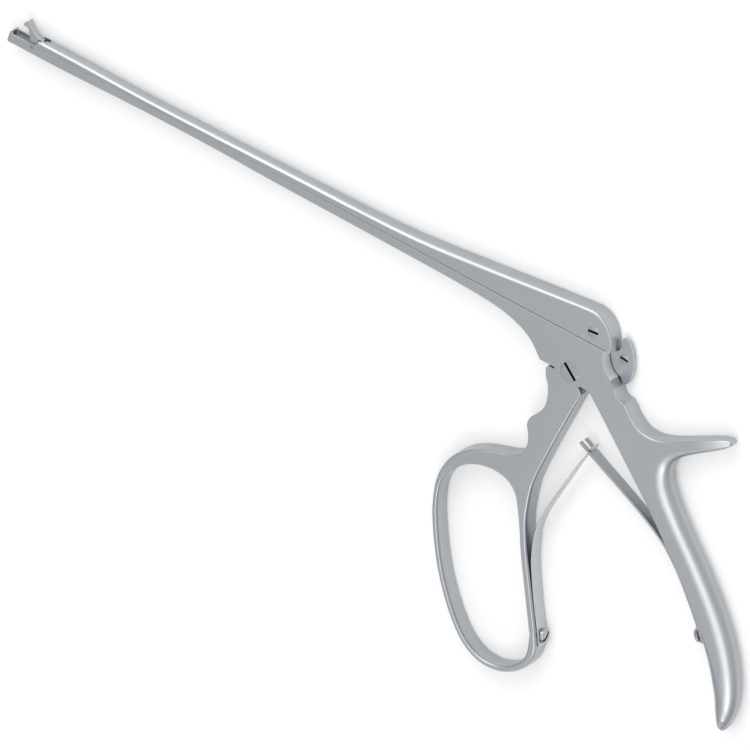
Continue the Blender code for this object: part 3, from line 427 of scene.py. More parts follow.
def plate(name: str, outer: Outline, low: float, high: float, steps: int = 6,
          hole: Outline | None = None, sweep: float = 90.0) -> bpy.types.Object:
    """A flat plate with rounded edges: the outline's wall, closed by a flat face at each end.

    A plate with a hole has each flat face split in two along the lines that join the outline's and the hole's
    leftmost and rightmost points.

    Args:
        name: Piece name.
        outer: Outline, material on its left.
        low: Height of the back face.
        high: Height of the front face.
        steps: Chords in each rounding.
        hole: Outline of a hole, if there is one.
        sweep: Turn of each rounding, in degrees.

    Returns:
        The plate.
    """
    walls = [outer.wall(low, high, steps, sweep)]
    if hole is not None:
        walls.append(hole.wall(low, high, steps, sweep))
    vertices, faces, rims = [], [], []
    start = 0
    for wall in walls:
        rings, count = wall.shape[:2]
        vertices.append(wall.reshape(-1, 3))
        faces.extend(ring_faces(rings, count, start).tolist())
        rims.append((np.arange(count) + start, np.arange(count) + start + (rings - 1) * count))
        start += rings * count
    vertices = np.vstack(vertices)
    for end in (0, 1):
        rim = rims[0][end]
        if hole is None:
            faces.append(rim[::-1] if end == 0 else rim)
            continue
        for loop in split_annulus(vertices, rim, rims[1][end]):
            faces.append(loop[::-1] if end == 0 else loop)
    return fill_mesh(name, vertices, faces)


def split_annulus(vertices: np.ndarray, outer: np.ndarray, inner: np.ndarray) -> list[np.ndarray]:
    """Two faces that together cover the band between an outline and its hole.

    Args:
        vertices: All points.
        outer: Vertex numbers of the outline, anticlockwise.
        inner: Vertex numbers of the hole, clockwise.

    Returns:
        Two loops of vertex numbers.
    """
    hole = vertices[inner]
    left, right = int(np.argmin(hole[:, 0])), int(np.argmax(hole[:, 0]))
    ends = []
    for index in (left, right):
        gap = np.linalg.norm(vertices[outer] - hole[index], axis=1)
        ends.append(int(np.argmin(gap)))
    outer_left, outer_right = ends

    def walk(loop: np.ndarray, first: int, last: int) -> np.ndarray:
        """The loop's entries from first to last, both included."""
        if last < first:
            last += len(loop)
        return loop[np.arange(first, last + 1) % len(loop)]

    below = np.concatenate([walk(outer, outer_left, outer_right), walk(inner, right, left)])
    above = np.concatenate([walk(outer, outer_right, outer_left), walk(inner, left, right)])
    return [below, above]


def tube(name: str, rings: np.ndarray) -> bpy.types.Object:
    """A closed skin over rings of points, with a flat face at each end.

    Args:
        name: Piece name.
        rings: Array of rings, points and coordinates.

    Returns:
        The piece, its faces turned outwards.
    """
    total, count = rings.shape[:2]
    faces = ring_faces(total, count).tolist()
    faces.append(list(range(count))[::-1])
    faces.append(list(range((total - 1) * count, total * count)))
    made = fill_mesh(name, rings.reshape(-1, 3), faces)
    outward(made)
    return made


def prism(name: str, points: np.ndarray, low: float, high: float, axis: str = "Z") -> bpy.types.Object:
    """A straight prism: the outline at two heights, joined by quads.

    Args:
        name: Piece name.
        points: Outline: X and Y for axis Z, X and Z for axis Y, Y and Z for axis X.
        low: Start along the axis.
        high: End along the axis.
        axis: Direction of the prism.

    Returns:
        The prism, its faces turned outwards.
    """
    points = np.asarray(points, float)
    order = {"Z": (0, 1, 2), "Y": (0, 2, 1), "X": (2, 0, 1)}[axis]
    rings = np.stack([np.column_stack([points, np.full(len(points), level)]) for level in (low, high)])
    return tube(name, rings[..., order])


def outward(piece: bpy.types.Object) -> None:
    """Turn a closed mesh's faces outwards."""
    bm = bmesh.new()
    bm.from_mesh(piece.data)
    bmesh.ops.recalc_face_normals(bm, faces=bm.faces)
    bm.to_mesh(piece.data)
    bm.free()


def box_cutter(low: tuple, high: tuple) -> bpy.types.Object:
    """A box between two corners, as a cutter."""
    (x0, y0, z0), (x1, y1, z1) = low, high
    return prism("cutter", np.array([(x0, y0), (x1, y0), (x1, y1), (x0, y1)]), z0, z1)


def bar_cutter(centre: tuple, radius: float, low: float, high: float, sides: int = 48) -> bpy.types.Object:
    """A round bar along Z, as a cutter."""
    return prism("cutter", arc(centre, radius, 0, 360 - 360 / sides, sides - 1), low, high)


def turned(name: str, profile: Points, sides: int = 48) -> bpy.types.Object:
    """A turned piece about Z: x = r cos a, y = r sin a, z = h for a profile of (r, h) from axis to axis.

    Args:
        name: Piece name.
        profile: Radius and height pairs; the first and last lie on the axis.
        sides: Number of facets.

    Returns:
        The piece, standing on the origin's axis.
    """
    rows = np.asarray(profile, float)
    inner = rows[1:-1]
    a = np.linspace(0, 2 * np.pi, sides, endpoint=False)
    heights = np.repeat(inner[:, 1:], sides, axis=1)
    grid = np.stack([inner[:, :1] * np.cos(a), inner[:, :1] * np.sin(a), heights], -1)
    vertices = np.vstack([grid.reshape(-1, 3), [(0, 0, rows[0, 1])], [(0, 0, rows[-1, 1])]])
    faces = ring_faces(len(inner), sides).tolist()
    first, last = len(vertices) - 2, len(vertices) - 1
    end = (len(inner) - 1) * sides
    faces += [[first, (i + 1) % sides, i] for i in range(sides)]
    faces += [[last, end + i, end + (i + 1) % sides] for i in range(sides)]
    made = fill_mesh(name, vertices, faces)
    outward(made)
    return made


def slice_across(piece: bpy.types.Object, stations: np.ndarray, normal: tuple[float, float, float]) -> None:
    """Cut a mesh's faces along planes, so that a taper has points to move.

    Args:
        piece: Piece in place.
        stations: A point of each plane, in millimetres.
        normal: Direction that the planes face.
    """
    bm = bmesh.new()
    bm.from_mesh(piece.data)
    for station in stations:
        everything = bm.verts[:] + bm.edges[:] + bm.faces[:]
        bmesh.ops.bisect_plane(bm, geom=everything, plane_co=station * MM, plane_no=normal, dist=1e-7)
    bm.to_mesh(piece.data)
    bm.free()


def scale_height(piece: bpy.types.Object, share: Callable[[np.ndarray], np.ndarray]) -> None:
    """Scale a piece's height about the mid plane.

    Args:
        piece: Piece in place.
        share: Turns points in millimetres into the share of its height that each keeps.
    """
    co = np.empty(len(piece.data.vertices) * 3, np.float32)
    piece.data.vertices.foreach_get("co", co)
    co = co.reshape(-1, 3)
    co[:, 2] = (MID_Z + (co[:, 2] / MM - MID_Z) * share(co / MM)) * MM
    piece.data.vertices.foreach_set("co", co.ravel())
    piece.data.update()


def settle(piece: bpy.types.Object) -> None:
    """Replace a piece's mesh by its evaluated one and drop the modifiers."""
    bpy.context.view_layer.update()
    graph = bpy.context.evaluated_depsgraph_get()
    mesh = bpy.data.meshes.new_from_object(piece.evaluated_get(graph))
    piece.modifiers.clear()
    piece.data = mesh


def carve(piece: bpy.types.Object, cutters: list[bpy.types.Object], joined: bool = False) -> bpy.types.Object:
    """Cut cutters out of a piece, or join them on, and throw the cutters away.

    Args:
        piece: Closed piece.
        cutters: Closed pieces.
        joined: True to join.

    Returns:
        The piece.
    """
    for cutter in cutters:
        step = piece.modifiers.new("step", "BOOLEAN")
        step.operation = "UNION" if joined else "DIFFERENCE"
        step.solver = "EXACT"
        step.object = cutter
    settle(piece)
    for cutter in cutters:
        bpy.data.objects.remove(cutter, do_unlink=True)
    return piece


def finish_piece(piece: bpy.types.Object, finish: SteelFinish, body: Body, slot: Slot, *nodes: str,
                 sharp: float = 32.0, bend: "Bend | None" = None) -> bpy.types.Object:
    """Shade and dress a piece, and mount it unless it is a springy one.

    Args:
        piece: Piece in place, in the frame's axes.
        finish: Its steel.
        body: Body that it rides on.
        slot: Record slot; not used.
        nodes: CAD nodes that it stands for.
        sharp: Angle above which an edge stays crisp, in degrees.
        bend: Root body and stretch of a springy piece; when given, the piece is not mounted on its body and
            keeps its place in the world.

    Returns:
        The piece.
    """
    piece.data.materials.clear()
    piece.data.materials.append(finish.material())
    piece.data.shade_smooth()
    piece.data.set_sharp_from_angle(angle=math.radians(sharp))
    weigh = piece.modifiers.new("weigh", "WEIGHTED_NORMAL")
    weigh.keep_sharp = True
    if bend is None:
        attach(piece, body.value)
    else:
        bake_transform(piece)
    if nodes:
        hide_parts(*nodes)
    LOG.info("%s: %d faces", piece.name, len(piece.data.polygons))
    return piece


@dataclass(frozen=True)
class Bend:
    """Where a spring leaves its root body: the root and two points along the spring."""

    root: Body
    start: tuple[float, float, float]
    end: tuple[float, float, float]


def move(piece: bpy.types.Object, matrix: Matrix) -> bpy.types.Object:
    """Move a mesh itself, so that its object stays at the origin."""
    piece.data.transform(matrix)
    return piece


@dataclass
class ShaftTaper:
    """How the shaft and slider thin out towards the tip."""

    front_x: float = -120.0
    rear_x: float = -25.0
    slim: float = 0.7
    stations: int = 12

    def apply(self, piece: bpy.types.Object) -> bpy.types.Object:
        """Scale a plate's height about the mid plane by slim + (1 - slim)(3 s^2 - 2 s^3) of its place s.

        Args:
            piece: Plate to thin.

        Returns:
            The same plate.
        """
        along = np.linspace(self.front_x, self.rear_x, self.stations + 1)
        slice_across(piece, np.outer(along, (1, 0, 0)), (1, 0, 0))

        def share(points: np.ndarray) -> np.ndarray:
            """The share of the height at each point."""
            s = np.clip((points[:, 0] - self.front_x) / (self.rear_x - self.front_x), 0, 1)
            return self.slim + (1 - self.slim) * (3 * s**2 - 2 * s**3)

        scale_height(piece, share)
        return piece


# Edges that a leaf spring lies along: the rear handle's inner one and the ring limb's outer one
HANDLE_INNER = smooth([(38.3, -28.0), (46.6, -35.6), (53.6, -42.2), (61.3, -50.1), (69.4, -59.4),
                       (76.0, -68.6), (80.8, -77.6)])
LIMB_OUTER = smooth([(4.4, -16.6), (2.5, -29.0), (1.2, -40.5), (1.8, -47.3), (3.1, -53.7), (5.3, -59.6),
                     (7.9, -65.4), (11.4, -72.4), (15.2, -80.0), (18.9, -87.3)])


def beside(path: np.ndarray, distance: float) -> np.ndarray:
    """A path moved to its left: p + distance * (-ty, tx), with t the direction at each point."""
    ahead = np.vstack([path[1:], path[-1:]])
    behind = np.vstack([path[:1], path[:-1]])
    along = ahead - behind
    along /= np.linalg.norm(along, axis=1, keepdims=True)
    return path + distance * np.column_stack([-along[:, 1], along[:, 0]])


@dataclass
class ForgedFrame:
    """Lower shaft with its basket jaw, body, rear handle and thumb spur, in one forging."""

    seam_y: float = 12.0
    tip_x: float = -215.5
    rim_y: float = 11.75
    taper: ShaftTaper = field(default_factory=ShaftTaper)
    nose_radius: float = 0.7
    basket_front_wall: float = 0.6
    basket_rear_x: float = -209.0
    basket_half: float = 2.1
    basket_corner: float = 1.1
    basket_floor_y: float = 9.5
    jaw_slot_half: float = 1.55
    jaw_slot_rear_x: float = -203.3
    recess_radius: float = 8.1
    recess_floor: float = 1.0
    heel_end: Point = (87.4, -87.7)
    spur_end: Point = (58.1, 2.9)

    def outline(self) -> Outline:
        """The forging seen from the front."""
        px, seam, rim = JAW_PIVOT[0], self.seam_y, self.rim_y
        tip = self.tip_x
        boss_start = 180 + math.degrees(math.asin(1.2 / BOSS_RADIUS))
        boss = arc((0, 0), BOSS_RADIUS, boss_start, 329, 24)
        heel = smooth([tuple(HANDLE_INNER[-1]), (83.3, -83.4), (85.5, -87.1), self.heel_end, (88.9, -85.0)])
        palm = smooth([(88.9, -85.0), (89.45, -79.5), (87.8, -71.6), (83.4, -62.4), (77.2, -53.6),
                       (70.4, -46.0), (62.4, -38.0), (54.2, -30.4), (48.2, -24.4)])
        throat = smooth([(48.2, -24.4), (44.0, -19.4), (42.1, -14.6), (42.9, -10.6), (45.6, -7.4)])
        under = smooth([(45.6, -7.4), (50.0, -4.0), (56.0, 0.4), (57.9, 2.3)])
        top = smooth([(56.8, 3.9), (54.0, 2.9), (46.0, -1.5), (38.0, -5.7), (33.1, -7.2), (28.6, -6.8),
                      (24.8, -4.6), (22.4, -2.4), (20.9, -1.2)])
        lip = smooth([(tip + 1.3, rim), (tip + 0.8, rim + 0.2), (tip + 0.35, 12.3), (tip + 0.05, 12.1),
                      (tip, 11.5)])
        belly = smooth([(tip + 0.7, 8.8), (-194.0, 8.8), (-165.0, 9.5), (-140.0, 9.6), (-112.0, 9.1),
                        (-75.0, 9.0), (-52.0, 8.9), (-40.0, 8.6), (-30.0, 7.9), (-22.3, 6.2), (-16.2, 3.4),
                        (-11.6, -0.6)])
        return Outline.of(
            ([(16.2, seam), (px + 0.6, seam)], 0.04, 0.04),
            ([(px + 0.6, seam), (px + 0.1, rim), (tip + 1.3, rim)], 0.12, 0.15),
            (lip, 0.12, 0.15),
            ([(tip, 11.5), (tip, 9.4)], 0.2, 0.25),
            (smooth([(tip, 9.4), (tip + 0.2, 9.0), (tip + 0.7, 8.8)]), 0.3, 0.3),
            (belly, (0.7, 0.5), (0.7, 0.5)),
            ([(-11.6, -0.6), (-10.9, -1.2), tuple(boss[0])], 0.25, 0.25),
            (boss, 0.004, 0.004),
            ([tuple(boss[-1]), (8.6, -3.4), tuple(HANDLE_INNER[0])], 0.3, 0.3),
            (HANDLE_INNER, (0.25, 0.25, 0.4, 0.9, 2.2, 3.8), (0.3, 0.3, 0.5, 1.0, 2.0, 3.4), 0.4),
            (heel, (3.8, 3.8, 4.0), (3.4, 3.6)),
            (palm, (4.0, 5.6, 6.6, 6.6, 5.6), (3.6, 3.8), 0.58),
            (throat, (5.6, 4.8, 2.6), (3.8, 3.4, 2.0), 0.58),
            (under, (2.6, 1.6, 0.9), (2.0, 1.4, 0.9), 0.55),
            (arc((57.2, 2.9), 1.0, -35, 110, 10), 0.8, 0.9),
            (top, (0.9, 0.8, 0.6, 0.5), (0.9, 0.8, 0.6, 0.5)),
            (smooth([(20.9, -1.2), (18.9, -1.0), (17.0, 0.3), (15.3, 3.0)]), 0.25, 0.25),
            (smooth([(15.3, 3.0), (16.9, 5.0), (17.2, 8.6), (16.2, seam)]), 0.2, 0.2),
        )

    def cutters(self) -> list[bpy.types.Object]:
        """Basket, jaw slot, rail groove, tang slot, stop-plate recess and bores."""
        half, corner = self.basket_half, self.basket_corner
        front, rear = self.tip_x + self.basket_front_wall, self.basket_rear_x
        ends = [(rear - corner, half - corner, 0), (front + corner, half - corner, 90),
                (front + corner, corner - half, 180), (rear - corner, corner - half, 270)]
        cavity = np.vstack([arc((x, MID_Z + z), corner, start, start + 90, 6) for x, z, start in ends])
        made = [prism("cutter", cavity, self.basket_floor_y, 15.0, "Y")]

        # Openings in the basket's floor, with two bars between them, and the jaw's slot behind
        low, high = MID_Z - self.jaw_slot_half, MID_Z + self.jaw_slot_half
        for left, right in ((-214.4, -212.975), (-212.525, -211.025), (-210.575, self.jaw_slot_rear_x)):
            made.append(box_cutter((left, 4.0, low), (right, 9.9, high)))
        made.append(box_cutter((rear - 1, 9.3, low), (self.jaw_slot_rear_x, 15.0, high)))
        made.append(bar_cutter(JAW_PIVOT, JAW_PIVOT_BORE, -2, 10))

        # Dovetail groove for the slider's rail, and the tang's slot
        groove = np.array([(10.9, 2.7), (10.9, 5.3), (12.0, 4.9), (14.0, 4.9), (14.0, 3.1), (12.0, 3.1)])
        made.append(prism("cutter", groove, -201.1, -5.5, "X"))
        made.append(box_cutter((-6.5, -10, MID_Z - TANG_SLOT_HALF), (7.6, 15, MID_Z + TANG_SLOT_HALF)))

        # The stop plate's recess, and the bores of the pivot screw, its head and the stop screw
        wall = arc(LEAF_CENTRE, self.recess_radius, 177, 250, 24)
        recess = np.vstack([wall, [(16.3, 1.4), (30, 1.4), (30, 20), (8.5, 20)]])
        made.append(prism("cutter", recess, self.recess_floor, 10))
        made.append(bar_cutter((0, 0), PIVOT_BORE, 0.8, 10))
        made.append(bar_cutter((0, 0), 3.33, 6.2, 10, 64))
        made.append(bar_cutter(STOP_SCREW, STOP_BORE, -1, 3))
        return made

    def round_nose(self, piece: bpy.types.Object) -> None:
        """Round the tip in plan: at x = tip + r (1 - cos a), the half width loses r (1 - sin a).

        Args:
            piece: The forging.
        """
        radius = self.nose_radius
        half = self.taper.slim * THICKNESS / 2
        along = self.tip_x + radius * (1 - np.cos(np.radians(np.linspace(15, 90, 6))))
        slice_across(piece, np.outer(along, (1, 0, 0)), (1, 0, 0))

        def share(points: np.ndarray) -> np.ndarray:
            """The share of the half width at each point."""
            s = np.clip((points[:, 0] - self.tip_x) / radius, 0, 1)
            return 1 - radius * (1 - np.sqrt(1 - (1 - s) ** 2)) / half

        scale_height(piece, share)

    @staticmethod
    def thin_end(piece: bpy.types.Object, tip: Point, inward: tuple, loss: float, length: float) -> None:
        """Scale the height about the mid plane by 1 - loss * s^2, with s from 0 to 1 towards a tip.

        Args:
            piece: The forging.
            tip: Tip in the drawing plane.
            inward: Direction from the tip into the piece.
            loss: Share of the thickness lost at the tip.
            length: Length that thins, in millimetres.
        """
        end = np.array([*tip, 0.0])
        axis = np.array([*inward, 0.0]) / math.hypot(*inward)
        slice_across(piece, end + np.outer(np.linspace(0.1, 1, 10) * length, axis), tuple(axis))

        def share(points: np.ndarray) -> np.ndarray:
            """The share of the thickness at each point."""
            s = np.clip(1 - (points - end) @ axis / length, 0, 1)
            return 1 - loss * s**2

        scale_height(piece, share)

    def build(self) -> bpy.types.Object:
        """Loft the plate, thin its shaft, heel and spur and cut its hollows."""
        piece = plate("forged_frame", self.outline(), 0.0, THICKNESS, ROUNDING_STEPS)
        self.taper.apply(piece)
        self.round_nose(piece)
        self.thin_end(piece, self.heel_end, (-0.547, 0.837), 0.24, 18.0)
        self.thin_end(piece, self.spur_end, (-0.8, -0.6), 0.42, 13.0)
        return carve(piece, self.cutters())

    def dress(self) -> None:
        """Build the forging, mount it and paint light onto the recess wall behind the slider: a near-white
        tone that stands in for the light this wall catches.
        """
        piece = finish_piece(self.build(), SATIN, Body.FRAME, Slot.SATIN, "frame")
        piece.data.materials.append(RECESS_WALL_PAINTED_LIGHT.material())
        # The recess wall's faces take the painted light
        for face in piece.data.polygons:
            spot = face.center / MM
            reach = math.hypot(spot.x - LEAF_CENTRE[0], spot.y - LEAF_CENTRE[1])
            on_wall = abs(reach - self.recess_radius) < 0.1 and abs(face.normal.z) < 0.1
            if on_wall and spot.x < LEAF_CENTRE[0] - 0.1 and self.recess_floor < spot.z < THICKNESS:
                face.material_index = 1


@dataclass
class SlidingShaft:
    """Upper shaft that slides on the frame and drives the jaw."""

    front_x: float = -206.0
    bottom_y: float = 12.06
    crown_sweep: float = 57.0
    taper: ShaftTaper = field(default_factory=ShaftTaper)

    def outline(self) -> Outline:
        """The slider from the side, with its hump over the drive screw."""
        x, y = self.front_x, self.bottom_y
        rear = smooth([(10.5, y + 0.2), (9.8, 15.2), (8.0, 18.5), (5.1, 21.1), (1.6, 22.5), (-2.5, 22.5)])
        top = smooth([(-2.5, 22.5), (-20.0, 20.6), (-43.0, 18.0), (-62.0, 16.1), (-78.0, 15.35),
                      (-100.0, 15.0), (-140.0, 14.4), (-165.0, 14.2), (-190.0, 14.5), (x + 1.6, 14.5)])
        nose = smooth([(x + 1.6, 14.5), (x + 0.4, 13.9), (x, y + 0.5)])
        return Outline.of(
            ([(x, y), (-120.0, y + 0.04), (-40.0, y + 0.16), (10.5, y + 0.2)], 0.04, 0.04),
            (rear, (0.2, 0.6, 1.0), (0.2, 0.6, 1.0)),
            (top, (1.0, 1.5, 1.3, 1.25, 1.25), (1.1, 1.8, 2.7, 3.4, 3.4)),
            (nose, (1.25, 0.8), (3.4, 1.2)),
            ([(x, y + 0.5), (x, y)], (0.8, 0.04), (0.8, 0.04)),
            cap=0.85,
        )

    def build(self) -> bpy.types.Object:
        """Loft the plate, thin it, join its rail and cut its fork, slots and bores."""
        piece = plate("sliding_shaft", self.outline(), 0.0, THICKNESS, 10, sweep=self.crown_sweep)
        self.taper.apply(piece)
        rail = np.array([(11.15, 2.95), (11.15, 5.05), (12.0, 4.65), (12.8, 4.65), (12.8, 3.35),
                         (12.0, 3.35)])
        carve(piece, [prism("cutter", rail, -199.0, -14.0, "X")], joined=True)
        fork = np.array([(-208, 2.45), (-203.0, 2.45), (-203.0, 3.1), (-202.2, 3.1), (-202.2, 4.9),
                         (-203.0, 4.9), (-203.0, 5.55), (-208, 5.55)])
        link_x = JAW_LINK[0]
        tang_low, tang_high = MID_Z - TANG_SLOT_HALF, MID_Z + TANG_SLOT_HALF
        cutters = [
            prism("cutter", fork, 10.0, 20.0, "Y"),
            box_cutter((link_x - 0.55, 11.0, 1.85), (link_x + 0.55, 14.05, 6.15)),
            box_cutter((-1.6, 11.0, tang_low), (7.2, 19.1, tang_high)),
            bar_cutter(DRIVE_SCREW, 1.22, 0.8, 10),
            bar_cutter(DRIVE_SCREW, 1.83, 6.8, 10, 64),
        ]
        return carve(piece, cutters)

    def dress(self) -> None:
        """Build the slider and mount it."""
        finish_piece(self.build(), SATIN, Body.SLIDER, Slot.SATIN, "slider")


@dataclass
class HookJaw:
    """Upper jaw: a hooked plate on a pivot pin, swung by a link pin."""

    width: float = 2.6
    widening: float = 0.34
    widens_from: float = 5.5
    widens_over: float = 1.2
    hub_radius: float = 1.66

    def outline(self) -> Outline:
        """The jaw at rest, open."""
        x, y = JAW_PIVOT
        back = smooth([(x + 2.4, y + 1.6), (x + 2.0, y + 2.7), (x + 0.7, y + 3.2), (x - 1.0, y + 4.0),
                       (x - 2.7, y + 5.3), (x - 4.4, y + 6.8)])
        brow = smooth([(x - 4.4, y + 6.8), (x - 5.1, y + 6.3), (x - 5.7, y + 5.6)])
        mouth = smooth([(x - 5.4, y + 4.75), (x - 4.7, y + 5.0), (x - 4.1, y + 4.7), (x - 3.2, y + 3.6),
                        (x - 2.6, y + 2.4), (x - 2.2, y + 1.1), (x - self.hub_radius, y)])
        hub = arc(JAW_PIVOT, self.hub_radius, 180, 350, 20)
        return Outline.of(
            (back, 0.3, 0.3), (brow, 0.3, 0.3), ([(x - 5.7, y + 5.6), (x - 5.4, y + 4.75)], 0.1, 0.1),
            (mouth, 0.15, 0.15), (hub, 0.1, 0.1), ([tuple(hub[-1]), (x + 2.4, y + 1.6)], 0.1, 0.1),
        )

    def dress(self) -> None:
        """Build the jaw, widen its claw and mount it."""
        low, high = MID_Z - self.width / 2, MID_Z + self.width / 2
        piece = plate("hook_jaw", self.outline(), low, high, 4)

        def share(points: np.ndarray) -> np.ndarray:
            """The share of the width at each point, from one near the pivot to 1 + widening at the claw."""
            reach = np.linalg.norm(points[:, :2] - np.array(JAW_PIVOT), axis=1)
            return 1 + self.widening * np.clip((reach - self.widens_from) / self.widens_over, 0, 1)

        scale_height(piece, share)
        bores = [bar_cutter(JAW_PIVOT, JAW_PIVOT_BORE, 0, 8, 24), bar_cutter(JAW_LINK, 0.46, 0, 8, 24)]
        finish_piece(carve(piece, bores), SATIN, Body.JAW, Slot.SATIN, "upper_jaw")


@dataclass
class RingLever:
    """Lever with its finger ring and the tang that reaches into the slider."""

    gap: float = 0.008
    shoulder: float = -1.75
    band: float = 2.2
    tang_half: float = 1.15

    def outlines(self) -> tuple[Outline, Outline]:
        """Outer edge of the lever and ring, and the finger hole."""
        seat_radius, shoulder = BOSS_RADIUS + self.gap, self.shoulder
        seat_x = -math.sqrt(seat_radius**2 - shoulder**2)
        seat_angle = 180 + math.degrees(math.asin(-shoulder / seat_radius))
        seat = arc((0, 0), seat_radius, 321, seat_angle, 24)
        grips = smooth([(-8.0, -2.6), (-7.3, -5.0), (-5.4, -8.0), (-4.3, -11.4), (-4.0, -14.6),
                        (-5.0, -17.8), (-7.3, -20.8), (-7.6, -23.4), (-6.2, -26.2), (-5.3, -29.6),
                        (-6.0, -32.9), (-8.8, -35.2), (-14.0, -37.0), (-20.3, -39.4), (-25.2, -42.9),
                        (-28.6, -47.8), (-30.1, -54.2), (-29.3, -61.3), (-26.8, -69.2), (-20.4, -82.2),
                        (-13.1, -92.9), (-5.6, -100.9), (0.6, -104.8), (6.9, -106.1), (13.0, -104.9),
                        (17.8, -101.6), (20.8, -96.6), (20.9, -91.8), tuple(LIMB_OUTER[-1])])
        outer = Outline.of(
            (seat, 0.004, 0.004),
            ([(seat_x, shoulder), (-7.5, shoulder), (-8.0, -2.6)], 0.2, 0.2),
            (grips, (0.3, 0.35, 0.9, 1.1, 1.1), (0.3, 0.35, 1.4, 1.9, 1.8)),
            (LIMB_OUTER[::-1], (0.8, 0.8), (1.2, 1.0)),
            ([tuple(LIMB_OUTER[0]), (6.1, -5.4), tuple(seat[0])], (0.8, 0.1), (1.0, 0.1)),
        )
        inner = beside(LIMB_OUTER, -self.band)
        right = inner[(inner[:, 1] > -90.5) & (inner[:, 1] < -57.0)][::-1]
        left = smooth([tuple(right[-1]), (-0.9, -51.4), (-3.6, -46.9), (-7.4, -44.2), (-12.2, -43.3),
                       (-17.0, -43.9), (-21.6, -45.9), (-25.4, -49.6), (-27.7, -55.0), (-27.1, -61.0),
                       (-24.6, -68.4), (-18.3, -81.3), (-11.2, -91.6), (-4.2, -99.1), (1.6, -102.7),
                       (7.0, -103.8), (12.1, -102.7), (16.0, -99.9), (18.1, -95.8), tuple(right[0])])
        hole = Outline.of(
            (right, 0.3, 0.4),
            (left, (0.3, 0.5, 0.95, 0.95, 0.6), (0.4, 0.8, 1.8, 1.8, 0.8)),
        )
        return outer, hole.reversed()

    def tang(self) -> bpy.types.Object:
        """Thin tongue from inside the lever, round the pivot and up to the drive screw."""
        lean = math.degrees(math.atan2(*DRIVE_SCREW))
        points = np.vstack([
            [(-5.0, -9.0), (5.0, -9.0)],
            arc((0, 0), 5.0, 0, 70 - lean, 10),
            arc(DRIVE_SCREW, 2.3, -lean, 180 - lean, 16),
            arc((0, 0), 5.0, 110 - lean, 180, 10),
        ])
        return prism("cutter", points, MID_Z - self.tang_half, MID_Z + self.tang_half)

    def dress(self) -> None:
        """Build the lever, join its tang, cut its bore and slot and mount it."""
        outer, hole = self.outlines()
        piece = plate("ring_lever", outer, 0.0, THICKNESS, ROUNDING_STEPS, hole)
        carve(piece, [self.tang()], joined=True)
        screw = np.array(DRIVE_SCREW)
        along = screw / np.linalg.norm(screw)
        slot = prism("cutter", stadium(screw - along * 0.45, screw + along * 0.25, 1.22), 1.0, 7.0)
        carve(piece, [bar_cutter((0, 0), PIVOT_BORE, 1.0, 7.0), slot])
        finish_piece(piece, SATIN, Body.LEVER, Slot.SATIN, "finger_handle")


